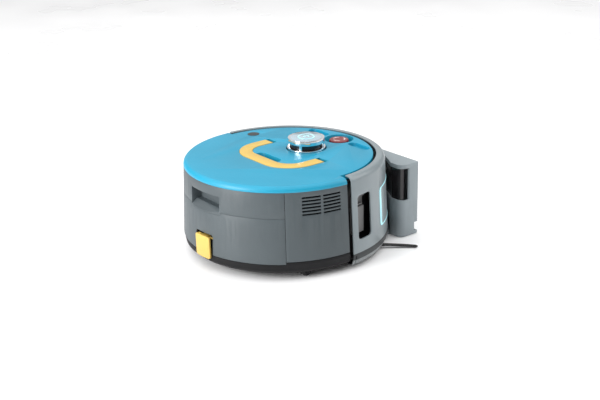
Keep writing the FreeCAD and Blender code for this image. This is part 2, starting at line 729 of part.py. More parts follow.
def lid():
    disc = turned("LidDisc", [
        ("0", "lid_top"),
        ("body_radius", "lid_top"),
        ("body_radius", "lid_seam"),
        ("body_radius - wall", "lid_seam"),
        ("body_radius - wall", "lid_top - wall"),
        ("0", "lid_top - wall"),
    ])
    round_edges(disc, "lid_round", circle_at("body_radius", "lid_top"))
    round_edges(disc, "lid_round - wall", circle_at("body_radius - wall", "lid_top - wall"))
    front_waste = cut(
        box("body_radius + 5", ("-(body_radius + 5)", "3"), ("lid_seam - 5", "lid_top + 5")),
        rod("lid_front", ("lid_seam - 6", "lid_top + 6")),
    )
    plate_low = "lid_top - wall + 0.5"
    ring = turned("LidRing", [
        ("lid_front - wall", "lid_seam - 2"),
        ("lid_front", "lid_seam - 2"),
        ("lid_front", plate_low),
        ("lid_front - wall", plate_low),
    ])
    stop_floor = "lid_top - stop_well_deep"
    grip_floor = "lid_top - grip_deep"
    grip_at = ("-grip_side", "-grip_forward")
    grip_outer = oblong("grip_long + 2 * cup_wall", "grip_across + 2 * cup_wall",
                        (grip_floor + " - cup_wall", plate_low), grip_at)
    grip_inner = oblong("grip_long", "grip_across", (grip_floor, "lid_top + 1"), grip_at)
    pocket_wall = box(("-(handle_half + pin_reach + 1)", "-(handle_inner - pin_reach - 1)"),
                      ("-(pivot_forward + pocket_ahead + wall)", "-(pivot_forward - pocket_behind - 4)"),
                      (pocket_low, plate_low))
    pocket = box(("-(handle_half + handle_gap)", "-(handle_inner - handle_gap)"),
                 ("-(pivot_forward + pocket_ahead)", "-(pivot_forward - pocket_behind)"),
                 (pocket_low + " - 1", "lid_top + 1"))
    pin_hole = rod("handle_pin + running",
                   ("-(handle_half + pin_reach)", "-(handle_inner - pin_reach)"), pivot_at, "X")
    reach_wall = box("reach_half + cup_wall",
                     ("reach_front - cup_wall", "reach_rear + cup_wall"),
                     ("reach_floor - cup_wall", plate_low))
    reach = soften(
        box("reach_half", ("reach_front", "reach_rear"), ("reach_floor", "lid_top + 1")),
        "reach_corner", upright(("reach_half", "reach_front"), ("-reach_half", "reach_front")),
    )
    keep_bar = box("reach_half + 1", ("handle_front - handle_gap", "reach_rear + 1"),
                   ("handle_bed", "lid_top + 2"))
    solid = cut(
        fuse(
            cut(disc, front_waste),
            ring,
            handle_block("3", ("handle_bed - 3", plate_low), "-pivot_forward + 6"),
            rod("stop_well + cup_wall", (stop_floor + " - cup_wall", plate_low),
                ("0", "-stop_forward")),
            grip_outer,
            mirror(grip_outer),
            pocket_wall,
            mirror(pocket_wall),
            reach_wall,
        ),
        rod("turret_well", ("lid_seam", "lid_top + 1"), ("0", "-turret_forward")),
        rod("stop_well", (stop_floor, "lid_top + 1"), ("0", "-stop_forward")),
        rod("stop_stem + 1", (stop_floor + " - 5", "lid_top"), ("0", "-stop_forward")),
        grip_inner,
        mirror(grip_inner),
        handle_block("handle_gap", ("handle_bed", "lid_top + 1"), "-pivot_forward + 5"),
        pocket,
        mirror(pocket),
        pin_hole,
        mirror(pin_hole),
        cut(reach, keep_bar),
        rod("disc_radius", ("lid_top - 1", "lid_top + 1"), ("disc_side", "-disc_forward")),
    )
    node("lid", solid)
    node("status_disc", rod("disc_radius", ("lid_top - 1", "lid_top + 0.4"),
                            ("disc_side", "-disc_forward")))


def handle():
    span = ("handle_bed + 0.3", "handle_bed + 0.3 + handle_thick")
    knuckle = rod("knuckle", ("-(handle_half - 1)", "-(handle_inner + 1)"), pivot_at, "X")
    pin = rod("handle_pin", ("-(handle_half + pin_reach)", "-(handle_inner - pin_reach)"),
              pivot_at, "X")
    node("carry_handle", fuse(handle_block("0", span, "-pivot_forward"),
                              knuckle, mirror(knuckle), pin, mirror(pin)))


# ---------------------------------------------------------------- turret
def turret():
    at = ("0", "-turret_forward")
    deck = cut(
        fuse(
            rod("ring_radius + 9", ("ring_low - 3", "ring_low"), at),
            cut(rod("ring_radius + 9", ("ring_low", "lid_top - wall"), at),
                rod("ring_radius + 5", ("ring_low - 1", "lid_top"), at)),
        ),
        rod("8", ("ring_low - 4", "ring_low + 1"), at),
    )
    motor = cut(
        rod("14", ("ring_low - 19", "ring_low - 2"), at),
        rod("axle + running", ("ring_low - 13.5", "ring_low"), at),
    )
    node("turret_deck", fuse(deck, motor))

    pillars = [
        box(("ring_inside - 0.4", "cap_radius - 0.6"), "pillar_half",
            ("ring_high - 0.5", "cap_low + 1"), f"pillar_first + {90 * quarter}", "turret_forward")
        for quarter in range(4)
    ]
    cage = fuse(
        cut(rod("ring_radius", ("ring_low", "ring_high"), at),
            rod("ring_inside", ("ring_low - 1", "ring_high + 1"), at)),
        cut(rod("cap_radius", ("cap_low", "cap_high"), at),
            rod("disc_top", ("cap_low - 1", "cap_high + 1"), at)),
        *pillars,
    )
    node("turret_cage", cage)

    top = cut(
        rod("disc_top", ("cap_low", "cap_high + 0.4"), at),
        rod("button_radius + button_gap", ("cap_low + 3", "cap_high + 1"), at),
        cut(rod("halo_radius", ("cap_high - 2", "cap_high + 1"), at),
            rod("button_radius + button_gap", ("cap_high - 3", "cap_high + 2"), at)),
        rod("axle + running", ("cap_low - 1", "cap_low + 4"), at),
    )
    node("turret_top", top)
    halo = cut(rod("halo_radius", ("cap_high - 2", "cap_high + 0.7"), at),
               rod("button_radius + button_gap", ("cap_high - 3", "cap_high + 2"), at))
    node("button_light_ring", halo)
    button = fuse(
        rod("button_radius", ("cap_low + 3 + button_travel", "cap_high + 1"), at),
        rod("axle", ("cap_low - 0.5", "cap_high"), at),
    )
    node("power_button", button)

    rotor = cut(
        fuse(
            rod("rotor_radius", ("ring_low + 2", "cap_low - 2.5"), at),
            rod("axle", ("ring_low - 13", "ring_low + 3"), at),
        ),
        box(("-9", "9"), ("-(turret_forward + rotor_radius + 1)",
                          "-(turret_forward + rotor_radius - 12)"),
            ("ring_high - 2", "cap_low - 4")),
    )
    node("ranging_rotor", rotor)


# ---------------------------------------------------------------- emergency stop
def emergency_stop():
    at = ("0", "-stop_forward")
    base = "lid_top - stop_well_deep"
    node("stop_housing", cut(
        rod("stop_well - 3", (base, base + " + 4"), at),
        rod("stop_stem + running", (base + " - 1", base + " + 5"), at),
    ))
    head_low = base + " + 4.2 + stop_travel"
    node("stop_plunger", fuse(
        rod("stop_stem", (base, head_low), at),
        rod("stop_pin", (head_low + " - 1", head_low + " + 4"), at),
    ))
    head = cut(
        rod("stop_radius", (head_low, "lid_top - 0.5"), at),
        rod("stop_pin + running", (head_low + " - 1", head_low + " + 4.2"), at),
    )
    node("stop_head", soften(head, "3", circle_at("stop_radius", "lid_top - 0.5")))


# ---------------------------------------------------------------- bumper
def bumper():
    shell = turned("BumperShell", [
        (bumper_wall("bumper_foot"), "bumper_foot"),
        (bumper_wall("bumper_top"), "bumper_top"),
        ("bumper_rim", "bumper_top"),
        ("bumper_rim", "bumper_top - wall"),
        (bumper_wall("bumper_top - wall", "wall"), "bumper_top - wall"),
        (bumper_wall("bumper_foot", "wall"), "bumper_foot"),
    ], front_sweep, "-90")
    round_edges(shell, "bumper_round", circle_at(bumper_wall("bumper_top"), "bumper_top"))
    round_edges(shell, "bumper_round - wall",
                circle_at(bumper_wall("bumper_top - wall", "wall"), "bumper_top - wall"))

    end = "light_sweep / 2"
    outer = turned("LightOuter", band(bumper_wall, "light_low", "light_high", "-light_proud", "1"),
                   "light_sweep", "-90")
    round_edges(outer, "light_corner", either(radial(end), radial(f"-{end}")))
    end += " - light_wide / bumper_radius * 57.296"
    inner = turned("LightInner",
                   band(bumper_wall, "light_low + light_thin", "light_high - light_thin", "-4", "5"),
                   f"2 * ({end})", "-90")
    round_edges(inner, "light_corner - light_thin", either(radial(end), radial(f"-({end})")))
    light = node("bumper_light", cut(outer, inner))
    node("front_window", turned("FrontWindow", band(bumper_wall, "eye_low", "eye_high", "0.2", "wall"),
                                "eye_sweep", "-90"))
    windows = []
    for turn in ("270 - slot_angle", "270 + slot_angle"):
        opening = box(("core_radius + 5", "bumper_radius + 15"), "slot_wide / 2",
                      ("slot_low", "slot_high"), turn)
        windows.append(soften(opening, "slot_corner", pointing(radial(turn))))
    wide_eye = turned("FrontWindowHole", band(bumper_wall, "eye_low", "eye_high", "-1", "wall + 1"),
                      "eye_sweep", "-90")
    boss_at = ("-guide_side", "guide_high")
    boss = common(
        cut(rod("guide_radius + 3.5", ("-(bumper_radius + 2)", "-(core_radius + 3.5)"),
                boss_at, "Y"),
            rod("guide_radius + 0.3", ("-(bumper_radius + 3)", "-(core_radius)"), boss_at, "Y")),
        rod(bumper_wall("guide_high", "wall / 2 + 1"), ("60", "190")),
    )
    solid = fuse(cut(shell, light, wide_eye, *windows), boss, mirror(boss))
    node("bumper_shell", solid)
    slits = [
        box(("core_radius + 5", "bumper_radius + 15"), "slit_wide / 2", ("skirt_foot - 1", "slit_high"),
            turn)
        for turn in ("270 - slit_angle", "270 + slit_angle")
    ]
    trim = turned("BumperTrim", band(bumper_wall, "trim_foot", "bumper_foot", "0.6", "wall + 0.6"),
                  front_sweep, "-90")
    node("bumper_trim", cut(trim, *slits))
    skirt = turned("BumperSkirt", [
        (bumper_wall("trim_foot", "1"), "trim_foot"),
        (bumper_wall("trim_foot", "1 + wall"), "trim_foot"),
        (bumper_wall("trim_foot", "6 + wall"), "skirt_foot"),
        (bumper_wall("trim_foot", "6"), "skirt_foot"),
    ], front_sweep, "-90")
    node("bumper_skirt", cut(skirt, *slits))


def side_sensors():
    """The sensor plate and its two louvres behind each side window."""
    foot, side = "core_radius - 4", "270 - slot_angle"
    sensor = cut(
        fuse(
            box((foot, "core_radius + 8"), ("-slot_wide / 2", "slot_wide / 2 - 8"),
                ("slot_low + 7.5", "slot_high - 31"), side),
            box((foot, "core_radius + 6"), ("-19", "11"), ("slot_high - 28", "slot_high - 25.5"), side),
            box((foot, "core_radius + 6"), ("-19", "16"), ("slot_high - 11", "slot_high - 8.5"), side),
            box((foot, "core_radius + 1.5"), ("-19", "16"), ("slot_low + 5", "slot_high - 6"), side),
        ),
        rod("core_radius", ("slot_low - 10", "lid_seam")),
    )
    node("side_sensors", fuse(sensor, mirror(sensor)))


# ---------------------------------------------------------------- rear: dust bin and battery
def inner_solid(name, inset):
    return turned(name, [
        ("0", "ground_gap"),
        (body_wall("ground_gap", inset), "ground_gap"),
        (body_wall("lid_seam", inset), "lid_seam"),
        ("0", "lid_seam"),
    ])


def dust_drawer():
    panel_top = "lid_seam - seam_gap"
    panel = turned("BinPanel", band(body_wall, "bin_seam + seam_gap", panel_top), rear_panel, "90")
    tongue = common(
        turned("BinTongue", band(body_wall, "niche_lip - 1", "bin_seam + seam_gap + 0.5"),
               "rear_sweep - 20", "90"),
        box(astride("niche_half + 2.5"), ("niche_back", "body_radius + 20"),
            ("niche_lip - 10", "lid_seam")),
    )
    block = common(
        box(astride("niche_half + 2.5"), ("niche_back - 2.5", "body_radius + 20"),
            ("niche_lip - 1", "niche_top + 3")),
        inner_solid("NicheLimit", "wall / 2"),
    )
    niche = slab("Niche", "YZ_Plane", [
        ("niche_back", "niche_top"),
        ("niche_back", "niche_low"),
        ("niche_ramp", "niche_low"),
        (body_wall("niche_lip") + " + 0.5", "niche_lip"),
        ("body_radius + 30", "niche_lip - 8"),
        ("body_radius + 30", "niche_top"),
    ], astride("niche_half"))
    node("bin_panel", cut(fuse(panel, tongue, block), niche))

    tub_outer = common(
        box("bin_half", ("bin_front", "body_radius + 20"), (deck_top, "bin_top")),
        inner_solid("BinLimit", "wall"),
    )
    cavity = common(
        box("bin_half - bin_wall", ("bin_front + bin_wall", "body_radius + 20"),
            (deck_top + " + bin_wall", "bin_top + 1")),
        inner_solid("BinSpace", "wall + bin_wall"),
    )
    niche_room = box(astride("niche_half + 2.5"), ("niche_back - 2.5", "body_radius + 20"),
                     ("niche_lip - 2", "niche_top + 3"))
    mouth = box("duct_half - 4", ("bin_front - 1", "bin_front + bin_wall + 1"),
                ("bin_top - 30", "bin_top - 12"))
    node("dust_bin", cut(tub_outer, cavity, niche_room, mouth))
    first = "duct_half + 12"
    pleats = [
        box((f"{first} + {number} * pleat_pitch", f"{first} + {number + 0.6} * pleat_pitch"),
            ("bin_front + bin_wall + 3", "bin_front + bin_wall + 15"),
            (deck_top + " + bin_wall", "bin_top - 4"))
        for number in range(10)
    ]
    plate = box((first + " - 2", "bin_half - bin_wall"),
                ("bin_front + bin_wall", "bin_front + bin_wall + 4"),
                (deck_top + " + bin_wall", "bin_top - 4"))
    node("bin_filter", fuse(plate, *pleats))


def battery_drawer():
    outwards = pointing(radial("90 + aside"))
    door = turned("BatteryDoor", band(body_wall, "panel_foot", "bin_seam"), rear_panel, "90")
    round_edges(door, "panel_ease", circle_at(body_wall("panel_foot"), "panel_foot"))
    notch = box(astride("niche_half + 3"), ("niche_back - 10", "body_radius + 20"),
                ("niche_lip - 1.4", "bin_seam + 1"))
    tab_hole = soften(
        box("recess_half", ("recess_back", "body_radius + 20"),
            ("panel_foot - 20", "recess_high"), "aside"),
        "6", outwards,
    )
    node("battery_door", cut(door, notch, tab_hole))

    inside = inner_solid("TrayLimit", "wall")
    tray_outer = common(
        box("tray_half", ("tray_front", "tray_rear"), ("tray_low", "tray_high")), inside)
    tray_space = box("tray_half - bin_wall", ("tray_front + bin_wall", "tray_rear - 4"),
                     ("tray_low + bin_wall", "tray_high + 1"))
    recess_outer = common(
        box("recess_half + 3", ("tray_rear - 1", "body_radius + 20"),
            ("tray_low", "recess_high + 3"), "aside"), inner_solid("RecessLimit", "wall"))
    recess = box("recess_half", ("recess_back", "body_radius + 20"),
                 ("tray_low - 1", "recess_high"), "aside")
    pin_at = ("latch_rear", "latch_high")
    hole = rod("latch_pin + running", "recess_half + 3", pin_at, "X", "aside")
    tray = fuse(cut(tray_outer, tray_space), cut(recess_outer, recess))
    node("battery_tray", cut(tray, hole))
    pack = box("tray_half - 7", ("tray_front + 5", "tray_rear - 9"),
               ("tray_low + bin_wall", "tray_high - 5"))
    node("battery_pack", soften(pack, "4", pointing(Vector(0, 1, 0))))

    tab = common(
        turned("TabSheet", [
            ("tab_inside", "tab_low"),
            ("tab_inside + tab_thick", "tab_low"),
            ("tab_inside + tab_thick", "tab_high"),
            ("tab_inside", "tab_high"),
        ], "40", "90 + aside"),
        soften(
            box("tab_half", ("recess_back", "body_radius + 30"), ("tab_low", "tab_high"), "aside"),
            "5", outwards,
        ),
    )
    lug = box("9", ("latch_rear - 5", "tab_inside + 1"), ("latch_high - 5", "latch_high + 5"), "aside")
    node("latch_tab", fuse(tab, lug, rod("latch_pin", "recess_half + 3", pin_at, "X", "aside")))


# ---------------------------------------------------------------- drive, caster and rollers
def drive_units():
    hub_at = ("0", "wheel_radius")
    pivot = ("arm_pivot_rear", "arm_pivot_high")
    span = ("-(arm_inside + arm_thick)", "-arm_inside")
    arm = slab("ArmWeb", "YZ_Plane", [
        ("0", "wheel_radius - 11"),
        ("0", "wheel_radius + 11"),
        ("arm_pivot_rear", "arm_pivot_high + 7"),
        ("arm_pivot_rear", "arm_pivot_high - 7"),
    ], span)
    arm = cut(
        fuse(
            arm,
            rod("11", span, hub_at, "X"),
            rod("7", span, pivot, "X"),
            rod("axle", ("-(arm_inside + arm_thick + arm_ear)", "-(arm_inside - 5)"), pivot, "X"),
            rod("14", ("-arm_inside", "-(arm_inside - 40)"), hub_at, "X"),
        ),
        rod("axle + running", ("-(arm_inside + 12)", "-(arm_inside - 6.5)"), hub_at, "X"),
    )
    both_sides("drive_arm", arm)
    rim = "wheel_radius - tyre_deep"
    inner_face = "wheel_side - wheel_half"
    hub = fuse(
        rod(rim, (f"-(wheel_side + wheel_half - 1)", f"-({inner_face} + 1)"), hub_at, "X"),
        rod("axle", (f"-({inner_face} + 2)", "-(arm_inside - 6)"), hub_at, "X"),
        rod("10", (f"-(wheel_side + wheel_half + 1)", f"-({inner_face} + 1)"), hub_at, "X"),
        rod("8", (f"-({inner_face} + 2)", "-(arm_inside + arm_thick + 0.4)"), hub_at, "X"),
    )
    both_sides("wheel_hub", hub)
    tyre = cut(
        rod("wheel_radius", ("-(wheel_side + wheel_half)", f"-({inner_face})"), hub_at, "X"),
        rod(rim, ("-(wheel_side + wheel_half + 1)", f"-({inner_face} - 1)"), hub_at, "X"),
    )

    def rim_edge(edge):
        circle = isinstance(edge.Curve, Part.Circle)
        return circle and abs(edge.Curve.Radius - value("wheel_radius")) < 0.01

    both_sides("wheel_tyre", soften(tyre, "3", rim_edge))


def caster():
    at = ("0", "-caster_forward")
    wheel_at = ("-(caster_forward - caster_trail)", "caster_radius")
    leg = box(("caster_half + 1", "caster_half + 4"),
              ("-(caster_forward + 4)", "-(caster_forward - caster_trail - 5)"),
              ("caster_radius - 5", "caster_roof - 4"))
    fork = cut(
        fuse(
            rod("15", ("caster_roof - 5", "caster_roof - 0.3"), at),
            rod("axle", ("caster_roof - 1", "caster_roof + 14"), at),
            leg,
            mirror(leg),
        ),
        rod("caster_pin + running", "caster_half + 5", wheel_at, "X"),
    )
    node("caster_fork", fork)
    node("caster_wheel", fuse(rod("caster_radius", "caster_half", wheel_at, "X"),
                              rod("caster_pin", "caster_half + 4", wheel_at, "X")))


def rear_rollers():
    at = ("roller_rear", "roller_radius")
    roller = fuse(
        rod("roller_radius", ("-(roller_side + roller_half)", "-(roller_side - roller_half)"),
            at, "X"),
        rod("latch_pin", ("-(roller_side + roller_half + 4.5)", "-(roller_side - roller_half - 4.5)"),
            at, "X"),
    )
    both_sides("rear_roller", roller)


# ---------------------------------------------------------------- brushes
def side_brushes():
    at = ("-side_brush_out", "-side_brush_forward")
    hub = fuse(
        rod("side_brush_hub", ("ground_gap - 7", "ground_gap - 0.4"), at),
        rod("side_brush_shaft", ("ground_gap - 1", "ground_gap + 20"), at),
    )
    arms = []
    for third in range(3):
        arm = slab(f"Bristles{third}", "XY_Plane", [
            ("side_brush_hub - 1", "-2.5"),
            ("side_brush_reach", "-6"),
            ("side_brush_reach", "6"),
            ("side_brush_hub - 1", "2.5"),
        ], ("ground_gap - 12", "ground_gap - 7.5"))
        turn = value(f"side_brush_turn + {120 * third}")
        arm.Placement = Placement(Vector(), Rotation(Vector(0, 0, 1), turn))
        arms.append(seat(arm, "-side_brush_out", "-side_brush_forward", "ground_gap - 12"))
    both_sides("side_brush_hub", hub)
    carrier = rod("side_brush_hub", ("ground_gap - 12", "ground_gap - 7"), at)
    both_sides("side_brush_bristles", fuse(carrier, *arms))
    motor = cut(rod("side_motor", (floor_top, floor_top + " + 30"), at),
                rod("side_brush_shaft + running", (floor_top + " - 1", floor_top + " + 18"), at))
    node("side_brush_motors", fuse(motor, mirror(motor)))


def main_brush():
    at = ("-brush_forward", "brush_high")
    core = fuse(rod("brush_core", "brush_half", at, "X"), rod("axle", "brush_half + 10", at, "X"))
    node("main_brush_core", core)
    vanes = []
    for sixth in range(6):
        vane = box("brush_half - 2", "vane_half", ("0", "brush_radius"))
        tilt = Rotation(Vector(1, 0, 0), 60 * sixth)
        offset = tilt.multVec(Vector(0, -1, 0))
        vane.Placement = Placement(Vector(), tilt)
        seat(vane, "-(brush_half - 2)", f"-brush_forward + vane_half * ({offset.y})",
             f"brush_high + vane_half * ({offset.z})")
        vanes.append(vane)
    node("main_brush_bristles", cut(fuse(*vanes), rod("brush_core", "brush_half + 1", at, "X")))

    roof = box("brush_half + 13", ("-(brush_forward + tunnel + 2)", "-(brush_forward - tunnel - 2)"),
               (floor_top, "brush_high + tunnel + 3"))
    ends = box("brush_half + 11",
               ("-(brush_forward + tunnel)", "-(brush_forward - tunnel)"),
               ("ground_gap", floor_top + " + 0.5"))
    room = fuse(
        rod("tunnel", "brush_half + 2", at, "X"),
        box("brush_half + 2", ("-(brush_forward + tunnel)", "-(brush_forward - tunnel)"),
            ("ground_gap - 1", "brush_high")),
    )
    throat = box("duct_half - duct_wall", ("-(brush_forward + 10)", "-(brush_forward - 10)"),
                 ("brush_high", "brush_high + tunnel + 5"))
    top = "brush_high + tunnel + 3"
    motor = rod("brush_motor", ("duct_half + 10", "brush_half - 2"),
                ("-brush_forward", top + " + brush_motor - 1"), "X")
    saddle = box(("duct_half + 18", "brush_half - 10"),
                 ("-(brush_forward + 8)", "-(brush_forward - 8)"), (top + " - 1", top + " + 5"))
    node("brush_tunnel", fuse(
        cut(fuse(roof, ends), room, throat, rod("axle + running", "brush_half + 11", at, "X")),
        motor, saddle,
    ))

    lift = box("duct_half", ("-(brush_forward + 12)", "-(brush_forward - 12)"),
               (top, "bin_top - 10"))
    run = box("duct_half", ("-(brush_forward)", "bin_front - 0.3"), ("bin_top - 32", "bin_top - 10"))
    hollow = fuse(
        box("duct_half - duct_wall", ("-(brush_forward + 10)", "-(brush_forward - 10)"),
            (top + " - 1", "bin_top - 12")),
        box("duct_half - duct_wall", ("-(brush_forward)", "bin_front"),
            ("bin_top - 30", "bin_top - 12")),
    )
    node("suction_duct", cut(fuse(lift, run), hollow))


def fan():
    at, ahead = ("0", "fan_rear"), "-fan_rear"
    legs = [
        rod("5", (floor_top, "fan_low + 1"), ("fan_radius - 6", "0"), "Z", f"{30 + 120 * third}", ahead)
        for third in range(3)
    ]
    cup = cut(rod("fan_radius", ("fan_low", "fan_high"), at),
              rod("fan_radius - fan_wall", ("fan_low + fan_wall", "fan_high - fan_wall"), at),
              rod("duct_half - duct_wall", ("fan_high - fan_wall - 1", "fan_high + 1"), at))
    motor = cut(rod("18", ("fan_low + fan_wall - 1", "fan_low + 18"), at),
                rod("fan_shaft + running", ("fan_low + 4", "fan_low + 19"), at))
    node("fan_housing", fuse(cup, motor, *legs))
    blades = [
        box(("8", "fan_radius - fan_wall - 4"), "blade_half",
            ("fan_low + 21", "fan_high - fan_wall - 19"), f"{45 * eighth}", ahead)
        for eighth in range(8)
    ]
    node("fan_impeller", fuse(
        rod("fan_radius - fan_wall - 3", ("fan_low + 19", "fan_low + 22"), at),
        rod("12", ("fan_low + 19", "fan_high - fan_wall - 17"), at),
        rod("fan_shaft", ("fan_low + 4.5", "fan_low + 20"), at),
        *blades,
    ))


def electronics():
    board = box("board_half", ("-150", "-98"), (deck_top, deck_top + " + 2"))
    chips = [
        box((f"{place} * board_half - chip_half", f"{place} * board_half + chip_half"),
            ("-136", "-116"), (deck_top + " + 1", deck_top + " + 7"))
        for place in (-0.69, -0.23, 0.23, 0.69)
    ]
    node("control_board", fuse(board, *chips))
    pad = box(contact_across, ("-(plate_front + 17)", "-(plate_front + 3)"),
              ("skirt_foot + 0.2", "ground_gap"))
    node("charge_pads", fuse(pad, mirror(pad)))


# ---------------------------------------------------------------- dock
contact_across = ("-(contact_side + contact_half)", "-(contact_side - contact_half)")


def dock_form(name, inset, z):
    """The dock's outline with its concave face, moved inwards by an inset."""
    body = slab(name, "XY_Plane", [
        (f"-(dock_half - {inset})", f"-(dock_back - {inset})"),
        (f"dock_half - {inset}", f"-(dock_back - {inset})"),
        (f"dock_half - {inset}", f"-(dock_face + {inset})"),
        (f"-(dock_half - {inset})", f"-(dock_face + {inset})"),
    ], z)
    round_edges(body, f"dock_corner - {inset}", upright(
        (f"dock_half - {inset}", f"-(dock_face + {inset})"),
        (f"-(dock_half - {inset})", f"-(dock_face + {inset})"),
    ))
    return cut(body, rod(f"dock_hollow + {inset}", ("-5", "dock_high + 5")))


def dock():
    full = dock_form("DockOuter", "0", ("foot_high", "dock_high"))
    hollow = dock_form("DockInner", "dock_wall", ("foot_high + dock_wall", "dock_high - dock_wall"))
    inset = "pane_deep + pane_thick"
    end, back = "-(pane_end + pane_lip)", "-(dock_back - dock_wall)"
    window = slab("WindowHole", "XY_Plane", [
        ("-(dock_half + 5)", "-(dock_face - 10)"),
        ("-(dock_half + 5)", end),
        ("-dock_half", end),
        ("-(dock_half - pane_lip)", "-pane_end"),
        ("-(dock_half - 20)", "-pane_end"),
        ("-(dock_half - 20)", back),
        ("dock_half - 20", back),
        ("dock_half - 20", "-pane_end"),
        ("dock_half - pane_lip", "-pane_end"),
        ("dock_half", end),
        ("dock_half + 5", end),
        ("dock_half + 5", "-(dock_face - 10)"),
    ], ("pane_low", "pane_high"))
    frame = common(
        cut(dock_form("FrameOuter", "dock_wall - 0.5", ("pane_low - 3", "pane_high + 3")),
            dock_form("FrameInner", inset, ("pane_low - 4", "pane_high + 4"))),
        fuse(box("dock_half - 20", (back, "-(dock_face - 10)"), ("pane_low - 5", "pane_high + 5")),
             box("dock_half + 5", (end + " - 3", "-(dock_face - 10)"),
                 ("pane_low - 5", "pane_high + 5"))),
    )
    notch = box(("-(dock_half + 5)", "-(dock_half - notch_in)"),
                ("-(dock_back + 5)", "-(dock_back - notch_ahead)"), ("notch_low", "notch_high"))
    cover_z = ("cover_low", "dock_high - cover_top")
    back_hole = box("dock_half - cover_side", ("-(dock_back + 1)", back + " + 0.1"), cover_z)
    node("dock_tower", cut(fuse(cut(full, hollow), frame), window, notch, back_hole))

    node("dock_window", common(
        cut(dock_form("PaneOuter", "pane_deep", ("pane_low", "pane_high")),
            dock_form("PaneInner", inset, ("pane_low - 1", "pane_high + 1"))),
        fuse(box("dock_half - 20", (back, "-(dock_face - 10)"), ("pane_low", "pane_high")),
             box("dock_half", ("-pane_end", "-(dock_face - 10)"), ("pane_low", "pane_high"))),
    ))
    node("dock_back_cover", box("dock_half - cover_side", ("-dock_back", back), cover_z))
    plate = cut(
        box("plate_half", ("-(dock_back - 2)", "-plate_front"), ("foot_high", "plate_high")),
        dock_form("PlateLimit", "0", ("0", "20")),
    )
    node("dock_plate", plate)
    contact = box(contact_across, ("-(plate_front + 15)", "-(plate_front + 5)"),
                  ("plate_high", "skirt_foot + 0.2 - contact_gap"))
    node("dock_contacts", fuse(contact, mirror(contact)))
    inlet_face = "dock_half - notch_in"
    socket = cut(
        box((f"-({inlet_face})", f"-({inlet_face} - notch_in)"),
            (back, "-(dock_back - notch_ahead)"), ("notch_low + 1", "notch_high - 1")),
        rod("inlet_radius", (f"-({inlet_face})", f"-({inlet_face} - inlet_deep)"),
            ("-(dock_back - 6)", "inlet_high"), "X"),
    )
    node("power_inlet", socket)
    feet = []
    for x, y in (("dock_half - 16", "dock_back - 9"), ("dock_half - 24", "dock_face + 14"),
                 ("plate_half - 20", "plate_front + 10")):
        foot = rod("foot_radius", ("0", "foot_high"), (f"-({x})", f"-({y})"))
        feet += [foot, mirror(foot)]
    node("dock_feet", fuse(*feet))


# ---------------------------------------------------------------- build, test and write
def build():
    chassis()
    side_shells()
    lid()
    handle()
    turret()
    emergency_stop()
    bumper()
    side_sensors()
    dust_drawer()
    battery_drawer()
    drive_units()
    caster()
    rear_rollers()
    side_brushes()
    main_brush()
    fan()
    electronics()
    dock()
    doc.recompute()


def test():
    faults = [
        f"{item.Label}: {', '.join(item.State)}"
        for item in doc.Objects
        if "Invalid" in item.State or "Error" in item.State
    ]
    for label, item in nodes.items():
        shape = item.Shape
        if shape.isNull() or not shape.isValid() or not shape.Solids:
            faults.append(f"{label}: no valid solid")
    if faults:
        raise RuntimeError("\n".join(faults))


def write():
    os.makedirs("parts", exist_ok=True)
    for label, item in nodes.items():
        item.Shape.exportStep(f"parts/{label}.step")
        box_ = item.Shape.BoundBox
        print(f"{label}: {len(item.Shape.Solids)} solid, {item.Shape.Volume / 1000:.1f} cm3, "
              f"z {box_.ZMin:.1f}..{box_.ZMax:.1f}")


build()
test()
write()
print(len(nodes), "nodes")
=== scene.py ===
import json
import math

import bmesh
import bpy
from bpy.props import FloatProperty, FloatVectorProperty, IntProperty, PointerProperty
from mathutils import Matrix, Vector

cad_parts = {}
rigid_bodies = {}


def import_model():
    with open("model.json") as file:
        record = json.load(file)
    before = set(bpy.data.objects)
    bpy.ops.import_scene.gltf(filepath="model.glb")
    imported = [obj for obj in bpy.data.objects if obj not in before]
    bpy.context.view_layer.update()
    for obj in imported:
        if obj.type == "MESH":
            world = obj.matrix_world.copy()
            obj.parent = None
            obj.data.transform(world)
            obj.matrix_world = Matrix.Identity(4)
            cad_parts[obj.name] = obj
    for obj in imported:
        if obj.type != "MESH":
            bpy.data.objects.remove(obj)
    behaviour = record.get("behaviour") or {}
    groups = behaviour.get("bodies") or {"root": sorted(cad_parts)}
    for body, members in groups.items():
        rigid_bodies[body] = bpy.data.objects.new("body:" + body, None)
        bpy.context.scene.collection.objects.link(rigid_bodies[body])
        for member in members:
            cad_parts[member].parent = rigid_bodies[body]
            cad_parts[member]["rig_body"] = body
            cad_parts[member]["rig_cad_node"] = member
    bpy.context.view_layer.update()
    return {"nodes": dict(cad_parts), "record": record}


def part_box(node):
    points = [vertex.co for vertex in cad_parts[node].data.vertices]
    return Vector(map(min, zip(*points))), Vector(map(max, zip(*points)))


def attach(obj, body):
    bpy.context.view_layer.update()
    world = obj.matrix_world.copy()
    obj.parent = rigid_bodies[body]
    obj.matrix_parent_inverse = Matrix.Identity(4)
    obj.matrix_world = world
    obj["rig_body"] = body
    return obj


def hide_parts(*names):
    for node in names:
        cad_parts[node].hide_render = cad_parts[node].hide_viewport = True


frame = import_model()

bl_info = {
    "name": "Floor-cleaning robot looks",
    "version": (1, 0, 0),
    "blender": (4, 5, 0),
    "location": "View3D > Sidebar > Robot",
    "description": "Dresses the robot and its dock: finishes, brushes, treads, marks, studio",
    "category": "Object",
}

UP = Vector((0, 0, 1))
SIDES = (("right", -1), ("left", 1))
MM = 0.001


# ---------------------------------------------------------------- sizes and colours
def colour(name, note, default):
    return FloatVectorProperty(name=name, description=note, default=default, subtype="COLOR",
                               size=3, min=0.0, max=1.0)


